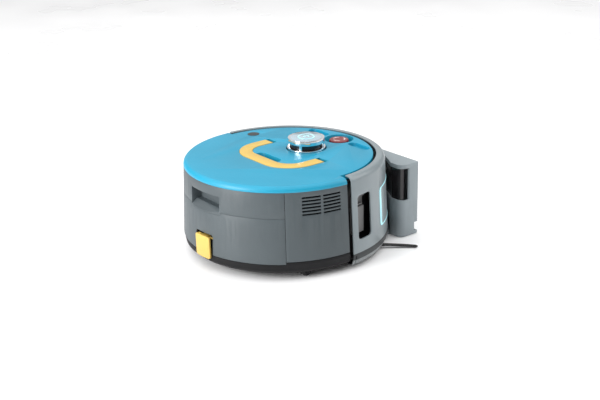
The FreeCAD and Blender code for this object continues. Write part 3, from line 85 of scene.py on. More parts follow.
def length(name, note, default):
    return FloatProperty(name=name, description=note, default=default, unit="LENGTH",
                         subtype="DISTANCE", min=0.0)


class RobotColours(bpy.types.PropertyGroup):
    """Colours of the mouldings, as linear light"""
    lid: colour("Lid", "Satin lid moulding", (0.004, 0.280, 0.440))
    wall: colour("Walls", "Side shells and drawer fronts", (0.063, 0.079, 0.087))
    bumper: colour("Bumper", "Bumper moulding", (0.205, 0.242, 0.258))
    dock: colour("Dock", "Dock mouldings", (0.250, 0.290, 0.310))
    trim: colour("Trim", "Dark trim and discs", (0.028, 0.032, 0.034))
    # The skirt's pale grey is a painted reflection of the white floor in the dark gloss base under
    # the bumper.
    skirt: colour("Skirt", "Pale skirt under the bumper", (0.200, 0.220, 0.226))
    base: colour("Base", "Chassis mouldings", (0.005, 0.005, 0.006))
    handle: colour("Handle", "Handle and latch tab", (0.620, 0.420, 0.095))
    stop: colour("Stop button", "Emergency stop head", (0.200, 0.008, 0.010))
    cap: colour("Turret cap", "Glossy disc and button", (0.360, 0.470, 0.540))
    light: colour("Light", "Lit diffusers", (0.450, 0.850, 0.950))
    window: colour("Windows", "Infrared-passing windows", (0.006, 0.004, 0.005))


class RobotDetails(bpy.types.PropertyGroup):
    """Sizes of the details that the frame leaves plain"""
    bristle_root: length("Bristle", "Thickness of a side-brush bristle", 0.0011)
    bristles: IntProperty(name="Bristles", description="Bristles in one arm", default=26, min=4)
    tuft: length("Tuft", "Width of a main-brush tuft", 0.0030)
    tread_depth: length("Tread", "Depth of the tyre's tread", 0.0022)
    tread_blocks: IntProperty(name="Blocks", description="Tread blocks round a tyre",
                              default=30, min=8)
    screw_head: length("Screw head", "Radius of an underside screw", 0.0034)
    symbol: length("Power mark", "Radius of the mark on the button", 0.0062)


# ---------------------------------------------------------------- modelling helpers
def let_go():
    """Back to object mode with nothing selected."""
    if bpy.context.object and bpy.context.object.mode != "OBJECT":
        bpy.ops.object.mode_set(mode="OBJECT")
    bpy.ops.object.select_all(action="DESELECT")


def take(*objects):
    let_go()
    for item in objects:
        item.select_set(True)
    bpy.context.view_layer.objects.active = objects[0]


def started(name):
    """The primitive just added, named, in edit mode."""
    item = bpy.context.object
    item.name = name
    item.data.name = name
    bpy.ops.object.mode_set(mode="EDIT")
    return item


def pick(kind, test):
    """Select the faces, edges or vertices of the edited mesh that pass the test."""
    item = bpy.context.object
    bpy.ops.mesh.select_mode(type=kind)
    bpy.ops.mesh.select_all(action="DESELECT")
    mesh = bmesh.from_edit_mesh(item.data)
    parts = {"FACE": mesh.faces, "EDGE": mesh.edges, "VERT": mesh.verts}[kind]
    found = 0
    for part in parts:
        if test(part):
            part.select_set(True)
            found += 1
    if not found:
        raise RuntimeError(f"{item.name}: nothing to select")
    mesh.select_flush_mode()
    bmesh.update_edit_mesh(item.data)


def copies(item, places):
    """Copies of item, each with its own mesh, put by these matrices."""
    made = []
    for number, place in enumerate(places):
        twin = item.copy()
        twin.data = item.data.copy()
        twin.name = f"{item.name}_{number}"
        bpy.context.scene.collection.objects.link(twin)
        twin.matrix_world = place @ item.matrix_world
        made.append(twin)
    bpy.data.objects.remove(item)
    return made


def joined(items, name):
    take(*items)
    if len(items) > 1:
        bpy.ops.object.join()
    item = bpy.context.object
    item.name = name
    item.data.name = name
    return item


def settle(item, angle=35):
    """Put the place into the mesh, turn the faces outwards and smooth the soft edges."""
    take(item)
    bpy.ops.object.transform_apply(location=True, rotation=True, scale=True)
    bpy.ops.object.mode_set(mode="EDIT")
    bpy.ops.mesh.select_all(action="SELECT")
    bpy.ops.mesh.remove_doubles(threshold=0.000002)
    bpy.ops.mesh.normals_make_consistent(inside=False)
    bpy.ops.object.mode_set(mode="OBJECT")
    bpy.ops.object.shade_smooth_by_angle(angle=math.radians(angle))
    let_go()
    return item


def dress(item, body, slot, material=None):
    """Ride on a body and take a finish."""
    item.data.materials.clear()
    item.data.materials.append(bpy.data.materials[material or slot])
    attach(item, body)
    return item


def about(point, angle, axis="Z"):
    """A turn about an axis through a point."""
    here = Matrix.Translation(point)
    return here @ Matrix.Rotation(angle, 4, axis) @ here.inverted()


def middle(node):
    low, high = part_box(node)
    return (low + high) / 2


# ---------------------------------------------------------------- patterns and finishes
def finish(name, roughness, metallic=0.0, coat=0.0):
    """A new material with its surface; the patterns below fill in the rest."""
    plain = bpy.data.materials.get(name)
    if plain:
        plain.name = name + "_plain"
    made = bpy.data.materials.new(name)
    made.use_nodes = True
    tree = made.node_tree
    surface = tree.nodes["Principled BSDF"]
    surface.inputs["Roughness"].default_value = roughness
    surface.inputs["Metallic"].default_value = metallic
    surface.inputs["Coat Weight"].default_value = coat
    surface.inputs["Coat Roughness"].default_value = 0.12
    return tree, surface


def where(tree, stretch=None):
    """Object coordinates, squeezed along the axes where stretch says."""
    place = tree.nodes.new("ShaderNodeTexCoord").outputs["Object"]
    if stretch is None:
        return place
    mapping = tree.nodes.new("ShaderNodeMapping")
    mapping.inputs["Scale"].default_value = stretch
    tree.links.new(place, mapping.inputs["Vector"])
    return mapping.outputs["Vector"]


def clouds(tree, size, detail=3.0, stretch=None):
    """Soft blotches about this big, in metres."""
    made = tree.nodes.new("ShaderNodeTexNoise")
    made.inputs["Scale"].default_value = 1 / size
    made.inputs["Detail"].default_value = detail
    tree.links.new(where(tree, stretch), made.inputs["Vector"])
    return made.outputs[0]


def pebbles(tree, size):
    """Packed grains about this big, in metres."""
    made = tree.nodes.new("ShaderNodeTexVoronoi")
    made.feature = "SMOOTH_F1"
    made.inputs["Scale"].default_value = 1 / size
    tree.links.new(where(tree), made.inputs["Vector"])
    return made.outputs["Distance"]


def remap(tree, pattern, low, high, start=0.3, end=0.7):
    made = tree.nodes.new("ShaderNodeMapRange")
    made.inputs["From Min"].default_value = start
    made.inputs["From Max"].default_value = end
    made.inputs["To Min"].default_value = low
    made.inputs["To Max"].default_value = high
    tree.links.new(pattern, made.inputs["Value"])
    return made.outputs["Result"]


def tint(tree, surface, pattern, hue, spread, start=0.3, end=0.7, other=None):
    """Base colour that wanders by spread round hue, or from hue to another colour."""
    ramp = tree.nodes.new("ShaderNodeValToRGB")
    first, last = ramp.color_ramp.elements
    first.position, last.position = start, end
    first.color = (*[max(part * (1 - spread), 0) for part in hue], 1)
    last.color = (*(other or [min(part * (1 + spread), 1) for part in hue]), 1)
    tree.links.new(pattern, ramp.inputs["Fac"])
    tree.links.new(ramp.outputs["Color"], surface.inputs["Base Color"])
    return ramp


def shine(tree, surface, pattern, low, high):
    tree.links.new(remap(tree, pattern, low, high), surface.inputs["Roughness"])


def relief(tree, surface, pattern, depth, strength=1.0):
    """Raise the surface by a pattern, on top of any relief it has."""
    bump = tree.nodes.new("ShaderNodeBump")
    bump.inputs["Distance"].default_value = depth
    bump.inputs["Strength"].default_value = strength
    tree.links.new(pattern, bump.inputs["Height"])
    earlier = surface.inputs["Normal"].links
    if earlier:
        tree.links.new(earlier[0].from_socket, bump.inputs["Normal"])
    tree.links.new(bump.outputs["Normal"], surface.inputs["Normal"])


def moulded(name, hue, roughness, grain=0.0007, depth=0.00002, spread=0.05, coat=0.0):
    """Spark-eroded plastic: fine pebbles, slow tone drift and faint handling marks."""
    tree, surface = finish(name, roughness, coat=coat)
    tint(tree, surface, clouds(tree, 0.060, 5.0), hue, spread)
    rub = clouds(tree, 0.012, 6.0, (1.0, 1.0, 0.25))
    shine(tree, surface, rub, roughness - 0.015, roughness + 0.02)
    relief(tree, surface, pebbles(tree, grain), depth)
    relief(tree, surface, clouds(tree, 0.045, 2.0), 0.00005, 0.25)
    return surface


def satin(name, hue, roughness, coat, spread=0.03):
    """Gloss plastic with slight flow waves and hairline wear."""
    tree, surface = finish(name, roughness, coat=coat)
    tint(tree, surface, clouds(tree, 0.090, 3.0), hue, spread)
    hair = clouds(tree, 0.0011, 2.0, (0.05, 1.0, 1.0))
    shine(tree, surface, hair, roughness - 0.02, roughness + 0.04)
    relief(tree, surface, clouds(tree, 0.030, 2.0), 0.00006, 0.4)
    relief(tree, surface, pebbles(tree, 0.0005), 0.000006)
    return surface


def metal(name, hue, roughness, stretch, depth):
    """Plated or turned metal with fine marks along one way and slight smudges."""
    tree, surface = finish(name, roughness, metallic=1.0)
    tint(tree, surface, clouds(tree, 0.018, 4.0), hue, 0.04)
    shine(tree, surface, clouds(tree, 0.009, 5.0), roughness, roughness + 0.06)
    relief(tree, surface, clouds(tree, 0.0006, 2.0, stretch), depth)
    return surface


def rubber(name, hue, roughness):
    tree, surface = finish(name, roughness)
    surface.inputs["Specular IOR Level"].default_value = 0.35
    dust = clouds(tree, 0.014, 6.0)
    tint(tree, surface, dust, hue, 0.2, 0.35, 0.8, [part * 1.9 + 0.008 for part in hue])
    shine(tree, surface, dust, roughness - 0.06, roughness + 0.1)
    relief(tree, surface, clouds(tree, 0.0006, 3.0), 0.00003)
    return surface


def window(name, hue):
    """Dark infrared-passing plastic: deep gloss with a trace of haze."""
    tree, surface = finish(name, 0.20, coat=0.2)
    surface.inputs["Coat Roughness"].default_value = 0.10
    tint(tree, surface, clouds(tree, 0.030, 2.0), hue, 0.3)
    shine(tree, surface, clouds(tree, 0.006, 4.0), 0.17, 0.24)
    relief(tree, surface, clouds(tree, 0.040, 1.0), 0.00003, 0.3)
    return surface


def lit(name, hue, glow):
    """Diffuser over a row of small lamps, a little brighter over each lamp."""
    tree, surface = finish(name, 0.35)
    lamps = clouds(tree, 0.011, 1.0)
    ramp = tint(tree, surface, lamps, hue, 0.10)
    tree.links.new(ramp.outputs["Color"], surface.inputs["Emission Color"])
    surface.inputs["Emission Strength"].default_value = glow
    relief(tree, surface, pebbles(tree, 0.0006), 0.00001)
    return surface


def smoked(name, hue):
    """Half-clear bin plastic."""
    tree, surface = finish(name, 0.18)
    surface.inputs["Transmission Weight"].default_value = 0.35
    tint(tree, surface, clouds(tree, 0.035, 3.0), hue, 0.15)
    shine(tree, surface, clouds(tree, 0.008, 5.0), 0.14, 0.30)
    relief(tree, surface, clouds(tree, 0.0009, 2.0, (0.1, 1.0, 1.0)), 0.000008)
    return surface


def paper(name, hue):
    """Fibrous filter paper that has begun to hold dust."""
    tree, surface = finish(name, 0.92)
    tint(tree, surface, clouds(tree, 0.010, 6.0), hue, 0.10, 0.35, 0.75,
         [part * 0.62 for part in hue])
    relief(tree, surface, clouds(tree, 0.0005, 4.0, (1.0, 1.0, 0.3)), 0.00006)
    return surface


def board(name, hue):
    """Solder mask with copper tracks showing through as lighter lines."""
    tree, surface = finish(name, 0.38)
    tracks = tree.nodes.new("ShaderNodeTexBrick")
    tracks.inputs["Scale"].default_value = 130.0
    tracks.inputs["Mortar Size"].default_value = 0.045
    tracks.inputs["Color1"].default_value = (*hue, 1)
    tracks.inputs["Color2"].default_value = (*[part * 0.7 for part in hue], 1)
    tracks.inputs["Mortar"].default_value = (*[part * 2.2 for part in hue], 1)
    tree.links.new(where(tree), tracks.inputs["Vector"])
    tree.links.new(tracks.outputs["Color"], surface.inputs["Base Color"])
    shine(tree, surface, clouds(tree, 0.004, 3.0), 0.30, 0.45)
    relief(tree, surface, tracks.outputs["Fac"], 0.00004)
    return surface


def bristle(name, hue):
    """Nylon: glossy along the strand, dusty at random."""
    tree, surface = finish(name, 0.42)
    tint(tree, surface, clouds(tree, 0.0016, 4.0), hue, 0.35, 0.3, 0.8,
         [part * 2.4 + 0.01 for part in hue])
    shine(tree, surface, clouds(tree, 0.003, 3.0), 0.34, 0.55)
    relief(tree, surface, clouds(tree, 0.0004, 2.0), 0.00001)
    return surface


def make_finishes(hues):
    satin("lid_blue", hues.lid, 0.42, 0.06)
    moulded("wall_grey", hues.wall, 0.44)
    moulded("bumper_grey", hues.bumper, 0.32, coat=0.15)
    moulded("dock_grey", hues.dock, 0.42)
    moulded("trim_dark", hues.trim, 0.50)
    # Painted reflection: this pale grey stands in for the white floor mirrored in the dark base;
    # the subsurface adds slight translucency.
    skirt = moulded("skirt_grey", hues.skirt, 0.30)
    skirt.inputs["Subsurface Weight"].default_value = 0.25
    skirt.inputs["Subsurface Radius"].default_value = (0.002, 0.002, 0.002)
    base = moulded("base_black", hues.base, 0.58, spread=0.15)
    base.inputs["Specular IOR Level"].default_value = 0.25
    handle = moulded("handle_yellow", hues.handle, 0.40, depth=0.000012, spread=0.02)
    handle.inputs["Subsurface Weight"].default_value = 0.06
    handle.inputs["Subsurface Radius"].default_value = (0.002, 0.001, 0.0005)
    satin("stop_red", hues.stop, 0.30, 0.10)
    satin("cap_white", hues.cap, 0.12, 0.7, 0.01)
    satin("mark_pale", (0.80, 0.62, 0.60), 0.35, 0.1)
    metal("chrome", (0.86, 0.87, 0.89), 0.05, (1.0, 1.0, 0.1), 0.0000015)
    metal("steel", (0.56, 0.57, 0.60), 0.28, (1.0, 1.0, 0.05), 0.00001)
    metal("brass", (0.80, 0.60, 0.28), 0.24, (0.1, 1.0, 1.0), 0.000008)
    window("window_dark", hues.window)
    lit("light_cyan", hues.light, 0.12)
    moulded("sensor_grey", (0.150, 0.150, 0.150), 0.50)
    rubber("tyre_rubber", (0.018, 0.018, 0.019), 0.72)
    rubber("roller_black", (0.022, 0.022, 0.023), 0.50)
    rubber("foot_rubber", (0.035, 0.035, 0.035), 0.75)
    bristle("bristle", (0.016, 0.016, 0.017))
    moulded("battery_dark", (0.020, 0.023, 0.028), 0.38, grain=0.0012, spread=0.12)
    smoked("bin_smoke", (0.045, 0.050, 0.054))
    paper("filter_white", (0.74, 0.73, 0.68))
    board("board_green", (0.012, 0.085, 0.034))


class ROBOT_OT_finishes(bpy.types.Operator):
    """Give every carried-over part its moulded, plated, rubber or lit finish"""
    bl_idname = "robot.finishes"
    bl_label = "Finishes"

    def execute(self, context):
        make_finishes(context.scene.robot_colours)
        for row in frame["record"]["subparts"]:
            item = frame["nodes"][row["node"]]
            item.data.materials.clear()
            item.data.materials.append(bpy.data.materials[row["material_slot"]])
        return {"FINISHED"}


# ---------------------------------------------------------------- mouldings with eased edges
EASED = {
    "lid": ("lid_moulding", 0.5),
    "carry_handle": ("handle_moulding", 1.2),
    "latch_tab": ("latch_moulding", 0.8),
    "turret_cage": ("turret_plating", 1.0),
    "turret_top": ("turret_disc", 0.5),
    "power_button": ("button_cap", 0.35),
    "dock_tower": ("dock_moulding", 1.0),
    "dock_plate": ("dock_ramp", 1.0),
    "bumper_shell": ("bumper_moulding", 0.7),
    "bin_panel": ("dust_drawer_front", 0.5),
    "battery_door": ("battery_drawer_front", 0.5),
    "side_shell_right": ("side_moulding_right", 0.4),
    "side_shell_left": ("side_moulding_left", 0.4),
    "bumper_skirt": ("skirt_strip", 0.5),
    "bumper_trim": ("trim_strip", 0.4),
    "chassis_base": ("chassis_moulding", 0.6),
    "stop_housing": ("stop_collar", 0.6),
    "caster_wheel": ("caster_tread", 1.2),
    "rear_roller_right": ("roller_tread_right", 0.8),
    "rear_roller_left": ("roller_tread_left", 0.8),
}


def eased(node, name, width):
    """A copy of a part with its hard edges rounded."""
    source = frame["nodes"][node]
    item = source.copy()
    item.data = source.data.copy()
    item.parent = None
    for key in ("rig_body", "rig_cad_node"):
        if key in item:
            del item[key]
    item.name = name
    item.data.name = name
    bpy.context.scene.collection.objects.link(item)
    take(item)
    bpy.ops.mesh.customdata_custom_splitnormals_clear()
    bpy.ops.object.mode_set(mode="EDIT")
    bpy.ops.mesh.select_all(action="SELECT")
    bpy.ops.mesh.remove_doubles(threshold=0.000005)
    bpy.ops.mesh.dissolve_limited(angle_limit=math.radians(0.4))
    bpy.ops.object.mode_set(mode="OBJECT")
    rounding = item.modifiers.new("rounding", "BEVEL")
    rounding.width = width * MM
    rounding.segments = 2
    rounding.limit_method = "ANGLE"
    rounding.angle_limit = math.radians(40)
    rounding.use_clamp_overlap = True
    rounding.miter_outer = "MITER_ARC"
    bpy.ops.object.modifier_apply(modifier=rounding.name)
    bpy.ops.object.shade_smooth_by_angle(angle=math.radians(32))
    let_go()
    body = source["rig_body"]
    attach(item, body)
    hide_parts(node)
    return item


class ROBOT_OT_eased_edges(bpy.types.Operator):
    """Round the hard edges of the visible mouldings"""
    bl_idname = "robot.eased_edges"
    bl_label = "Eased edges"

    def execute(self, context):
        for node, (name, width) in EASED.items():
            eased(node, name, width)
        return {"FINISHED"}


# ---------------------------------------------------------------- side brushes
def strand(name, points, root, tip, corners=5):
    """One bristle grown from a disc along the points."""
    let_go()
    start = Vector(points[0])
    heading = (Vector(points[1]) - start).to_track_quat("Z", "Y").to_euler()
    bpy.ops.mesh.primitive_circle_add(vertices=corners, radius=root, fill_type="NGON",
                                      location=start, rotation=heading)
    item = started(name)
    bpy.ops.mesh.select_mode(type="FACE")
    bpy.ops.mesh.select_all(action="SELECT")
    last = len(points) - 1
    shrink = (tip / root) ** (1 / last)
    for number in range(1, last + 1):
        step = Vector(points[number]) - Vector(points[number - 1])
        bpy.ops.mesh.extrude_region_move(TRANSFORM_OT_translate={"value": step})
        bpy.ops.transform.resize(value=(shrink,) * 3,
                                 center_override=Vector(points[number]))
    return item


ARM_COUNT = 3
ARM_STEPS = 9
ARM_START = 0.010       # where the bristles leave the hub
ARM_HEIGHT = 0.0080     # of the roots above the floor
ARM_END_GAP = 0.0008    # inside the reach of the plain arm
ARM_POINT = 0.004       # how much shorter the outermost bristles are
ARM_HALF = 0.0034       # half the width of an arm at the root
ARM_SPREAD = 0.0016     # how much that grows to the tip
ARM_LAYERS = 0.0036     # thickness of an arm
ARM_LAG = 0.04          # how far, in radians, the tips trail the root
ARM_DIP = 0.0050        # how far the tips hang below the root


def brush_arm(hub, reach, details):
    """One arm of bristles along +X, fanned at the tip and trailing a little."""
    count = details.bristles
    strands = []
    for number in range(count):
        across = (number + 0.5) / count * 2 - 1
        layer = (number * 7) % 5 / 4 - 0.5
        points = []
        for step in range(ARM_STEPS + 1):
            along = step / ARM_STEPS
            radius = ARM_START + (reach - ARM_START - ARM_POINT * abs(across)) * along
            swing = -ARM_LAG * along ** 2
            side = across * (ARM_HALF + ARM_SPREAD * along)
            drop = -ARM_DIP * along ** 1.5 + layer * ARM_LAYERS * (1 - 0.4 * along)
            points.append(hub + Vector((
                radius * math.cos(swing) - side * math.sin(swing),
                radius * math.sin(swing) + side * math.cos(swing),
                drop,
            )))
        root = details.bristle_root / 2
        strands.append(strand("bristle_strand", points, root, root * 0.75))
    return joined(strands, "bristle_arm")


class ROBOT_OT_side_brushes(bpy.types.Operator):
    """Three bristle arms on each side-brush hub"""
    bl_idname = "robot.side_brushes"
    bl_label = "Side brushes"

    def execute(self, context):
        details = context.scene.robot_details
        for side, sign in SIDES:
            node = f"side_brush_bristles_{side}"
            hub_low, hub_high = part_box(f"side_brush_hub_{side}")
            hub = (hub_low + hub_high) / 2
            hub.z = ARM_HEIGHT
            vertices = frame["nodes"][node].data.vertices
            reach = max((v.co.xy - hub.xy).length for v in vertices)
            far = max(vertices, key=lambda v: (v.co.xy - hub.xy).length)
            first = math.atan2(far.co.y - hub.y, far.co.x - hub.x)
            arm = brush_arm(hub, reach - ARM_END_GAP, details)
            if sign > 0:
                bpy.ops.object.select_all(action="DESELECT")
                flip = Matrix.Scale(-1, 4, Vector((0, 1, 0)))
                arm.matrix_world = (Matrix.Translation(hub) @ flip
                                    @ Matrix.Translation(-hub) @ arm.matrix_world)
            turns = [about(hub, first + number * math.tau / ARM_COUNT)
                     for number in range(ARM_COUNT)]
            brush = joined(copies(arm, turns), f"bristle_arms_{side}")
            settle(brush, 60)
            dress(brush, f"side_brush_{side}", "bristle")
            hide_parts(node)
        return {"FINISHED"}


# ---------------------------------------------------------------- main brush
BRUSH_ROWS = 6
TUFTS_IN_ROW = 26
CHEVRON = 0.55          # turn of a row from its ends to the middle, in radians
TUFT_ROOT = 0.0085      # from the brush's axis, inside its core
TUFT_STEPS = (0, 0.4, 0.75, 1)


class ROBOT_OT_main_brush(bpy.types.Operator):
    """Chevron rows of tufts on the main brush"""
    bl_idname = "robot.main_brush"
    bl_label = "Main brush"

    def execute(self, context):
        details = context.scene.robot_details
        low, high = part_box("main_brush_bristles")
        axis = (low + high) / 2
        tip = (high.z - low.z) / 2
        points = [axis + Vector((0, 0, TUFT_ROOT + (tip - TUFT_ROOT) * part))
                  for part in TUFT_STEPS]
        points = [Vector((low.x + details.tuft, p.y, p.z)) for p in points]
        tuft = strand("tuft", points, details.tuft / 2 * 0.8, details.tuft / 2 * 1.25, 6)
        settle(tuft)
        span = high.x - low.x - 2 * details.tuft
        places = []
        for row in range(BRUSH_ROWS):
            for number in range(TUFTS_IN_ROW):
                along = number / (TUFTS_IN_ROW - 1)
                turn = row * math.tau / BRUSH_ROWS + CHEVRON * (1 - abs(2 * along - 1))
                shift = Matrix.Translation(Vector((span * along, 0, 0)))
                places.append(shift @ about(axis, turn, "X"))
        rows = joined(copies(tuft, places), "tuft_rows")
        settle(rows, 50)
        dress(rows, "main_brush", "bristle")
        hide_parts("main_brush_bristles")
        return {"FINISHED"}


# ---------------------------------------------------------------- tyres
TREAD_FILL = 0.97       # share of the tread's depth that the blocks rise
TREAD_EDGE = 0.0004     # rounding of the blocks


class ROBOT_OT_tyres(bpy.types.Operator):
    """Tyres with two staggered rows of tread blocks"""
    bl_idname = "robot.tyres"
    bl_label = "Tyres"

    def execute(self, context):
        details = context.scene.robot_details
        for side, _ in SIDES:
            node = f"wheel_tyre_{side}"
            low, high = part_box(node)
            axis = (low + high) / 2
            radius = (high.z - low.z) / 2
            ground = radius - details.tread_depth
            inner = min(math.hypot(v.co.y - axis.y, v.co.z - axis.z)
                        for v in frame["nodes"][node].data.vertices)
            half = (high.x - low.x) / 2
            count = details.tread_blocks * 2
            let_go()
            bpy.ops.mesh.primitive_cylinder_add(vertices=count, radius=ground, depth=2 * half,
                                                end_fill_type="NGON", location=axis,
                                                rotation=(0, math.pi / 2, 0))
            tyre = started(f"tyre_tread_{side}")
            pick("FACE", lambda f: len(f.verts) > 4)
            bpy.ops.mesh.inset(thickness=ground - inner, depth=0)
            bpy.ops.mesh.bridge_edge_loops()
            pick("EDGE", lambda e: abs((e.verts[0].co - e.verts[1].co).length - 2 * half) < 1e-5
                 and e.verts[0].co.xy.length > inner + 0.001)
            bpy.ops.mesh.subdivide(number_cuts=3)

            def on_block(face):
                spot = face.calc_center_median()
                if spot.xy.length < ground * 0.99 or abs(spot.z) < half * 0.02:
                    return False
                lane = 0 if spot.z > 0 else 1
                turn = math.atan2(spot.y, spot.x) % math.tau
                return int(turn / math.tau * count + 1e-6) % 2 == lane

            pick("FACE", on_block)
            bpy.ops.mesh.extrude_region_shrink_fatten(
                TRANSFORM_OT_shrink_fatten={"value": details.tread_depth * TREAD_FILL})
            tyre.select_set(True)
            bpy.ops.object.mode_set(mode="OBJECT")
            easing = tyre.modifiers.new("easing", "BEVEL")
            easing.width = TREAD_EDGE
            easing.limit_method = "ANGLE"
            easing.angle_limit = math.radians(40)
            bpy.ops.object.modifier_apply(modifier=easing.name)
            settle(tyre, 25)
            dress(tyre, f"wheel_{side}", "tyre_rubber")
            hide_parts(node)
        return {"FINISHED"}


# ---------------------------------------------------------------- marks on the buttons
def arc(name, centre_at, radius, width, height, sweep, start, steps=36):
    """A flat bar with a square section, spun about Z."""
    let_go()
    spot = centre_at + Vector((radius, 0, height / 2))
    bpy.ops.mesh.primitive_cube_add(size=1.0, location=spot)
    item = bpy.context.object
    item.scale = (width, 0.0001, height)
    bpy.ops.object.transform_apply(location=True, rotation=False, scale=True)
    item = started(name)
    pick("FACE", lambda f: f.normal.y > 0.9)
    bpy.ops.mesh.spin(steps=steps, angle=sweep, center=centre_at, axis=(0, 0, 1))
    bpy.ops.object.mode_set(mode="OBJECT")
    item.matrix_world = about(centre_at, start) @ item.matrix_world
    return item


MARK_LINE = 0.0014      # width of the power mark's ring and bar
MARK_HEIGHT = 0.0004    # of every printed mark, above and below its face
MARK_GAP = 70           # opening at the top of the ring, in degrees
MARK_SINK = 0.0001      # how far a mark is let into its face


class ROBOT_OT_power_mark(bpy.types.Operator):
    """Ring and bar on the power button"""
    bl_idname = "robot.power_mark"
    bl_label = "Power mark"

    def execute(self, context):
        radius = context.scene.robot_details.symbol
        top = middle("power_button")
        top.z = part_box("power_button")[1].z - MARK_SINK
        gap = math.radians(MARK_GAP)
        ring = arc("mark_ring", top, radius, MARK_LINE, MARK_HEIGHT, math.tau - gap,
                   math.pi / 2 + gap / 2)
        let_go()
        spot = top + Vector((0, radius * 0.75, MARK_HEIGHT / 2))
        bpy.ops.mesh.primitive_cube_add(size=1.0, location=spot)
        bar = bpy.context.object
        bar.scale = (MARK_LINE, radius * 0.9, MARK_HEIGHT)
        mark = joined([ring, bar], "power_mark")
        take(mark)
        bpy.ops.object.transform_apply(location=True, rotation=True, scale=True)
        easing = mark.modifiers.new("easing", "BEVEL")
        easing.width = 0.00012
        easing.limit_method = "ANGLE"
        easing.angle_limit = math.radians(40)
        bpy.ops.object.modifier_apply(modifier=easing.name)
        settle(mark)
        dress(mark, "power_button", "light_cyan")
        return {"FINISHED"}


ARROWS = 3
ARROW_LINE = 0.0026     # width of an arrow's shaft
ARROW_POINT = 0.0042    # radius of its point
ARROW_SWEEP = 72        # angle that the shaft covers, in degrees


class ROBOT_OT_stop_arrows(bpy.types.Operator):
    """Release arrows round the stop button's head"""
    bl_idname = "robot.stop_arrows"
    bl_label = "Stop arrows"

    def execute(self, context):
        low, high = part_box("stop_head")
        top = (low + high) / 2
        top.z = high.z - MARK_SINK
        radius = (high.x - low.x) / 2 * 0.60
        shaft = arc("arrow_shaft", top, radius, ARROW_LINE, MARK_HEIGHT,
                    math.radians(ARROW_SWEEP), 0, 14)
        let_go()
        tip = top + Vector((radius, 0, MARK_HEIGHT / 2))
        bpy.ops.mesh.primitive_cylinder_add(vertices=3, radius=ARROW_POINT, depth=MARK_HEIGHT,
                                            location=tip)
        point = started("arrow_point")
        pick("FACE", lambda f: f.normal.z > 0.9)
        bpy.ops.mesh.bevel(offset=0.0002, affect="EDGES")
        bpy.ops.object.mode_set(mode="OBJECT")
        point.matrix_world = about(top, math.radians(80)) @ about(tip, 0.5236) @ point.matrix_world
        arrow = joined([shaft, point], "arrow")
        turns = [about(top, 0.5 + number * math.tau / ARROWS) for number in range(ARROWS)]
        arrows = joined(copies(arrow, turns), "release_arrows")
        settle(arrows)
        dress(arrows, "stop_head", "cap_white", "mark_pale")
        return {"FINISHED"}


# ---------------------------------------------------------------- underside
SCREW_SPOTS = (
    (0, 196), (-88, 172), (88, 172), (-200, 30), (200, 30), (-110, 62), (110, 62),
    (-104, -68), (104, -68), (-60, -160), (60, -160), (-112, -150), (112, -150),
)


SCREW_CORNERS = 24
SCREW_DEPTH = 0.0016
SCREW_PROUD = 0.0003    # middle of a head above the underside
SCREW_EDGE = 0.0003
SCREW_RIM = 0.42        # width of the rim round the socket, as a share of the head
SCREW_SOCKET = 0.0011   # depth of the socket
SCREW_STAR = 0.74       # how far the star's notches come in


class ROBOT_OT_screws(bpy.types.Operator):
    """Star-drive screws that close the chassis from below"""
    bl_idname = "robot.screws"
    bl_label = "Underside screws"

    def execute(self, context):
        head = context.scene.robot_details.screw_head
        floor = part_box("brush_tunnel")[0].z
        roof = floor + SCREW_PROUD
        let_go()
        bpy.ops.mesh.primitive_cylinder_add(vertices=SCREW_CORNERS, radius=head,
                                            depth=SCREW_DEPTH, location=(0, 0, roof))
        screw = started("screw")
        pick("FACE", lambda f: f.normal.z < -0.9)
        bpy.ops.mesh.bevel(offset=SCREW_EDGE, segments=2, affect="EDGES")
        pick("FACE", lambda f: f.normal.z < -0.9 and len(f.verts) > 8)
        bpy.ops.mesh.inset(thickness=head * SCREW_RIM, depth=0)
        pick("FACE", lambda f: f.normal.z < -0.9
             and max(v.co.xy.length for v in f.verts) < head * 0.6)
        bpy.ops.mesh.extrude_region_move(TRANSFORM_OT_translate={"value": (0, 0, SCREW_SOCKET)})

        def in_notch(vertex):
            turn = math.atan2(vertex.co.y, vertex.co.x) % math.tau / math.tau
            return (vertex.co.xy.length < head * 0.6
                    and int(turn * SCREW_CORNERS + 0.5) % 4 in (0, 1))

        pick("VERT", in_notch)
        bpy.ops.transform.resize(value=(SCREW_STAR, SCREW_STAR, 1), center_override=(0, 0, roof))
        bpy.ops.object.mode_set(mode="OBJECT")
        spots = [Matrix.Translation(Vector((x * MM, y * MM, 0))) for x, y in SCREW_SPOTS]
        screws = joined(copies(screw, spots), "chassis_screws")
        settle(screws)
        dress(screws, "chassis", "steel")
        return {"FINISHED"}


SENSOR_SPOTS = ((-28, -190), (28, -190), (-186, -62), (186, -62))
SENSOR_SIZE = (0.022, 0.010, 0.003)
SENSOR_CORNER = 0.0045
SENSOR_FRAME = 0.0012   # width of the rim round the window
SENSOR_DEPTH = 0.0008   # how deep the window sits in the rim
SENSOR_RAISED = 0.0005  # middle of a sensor above the underside


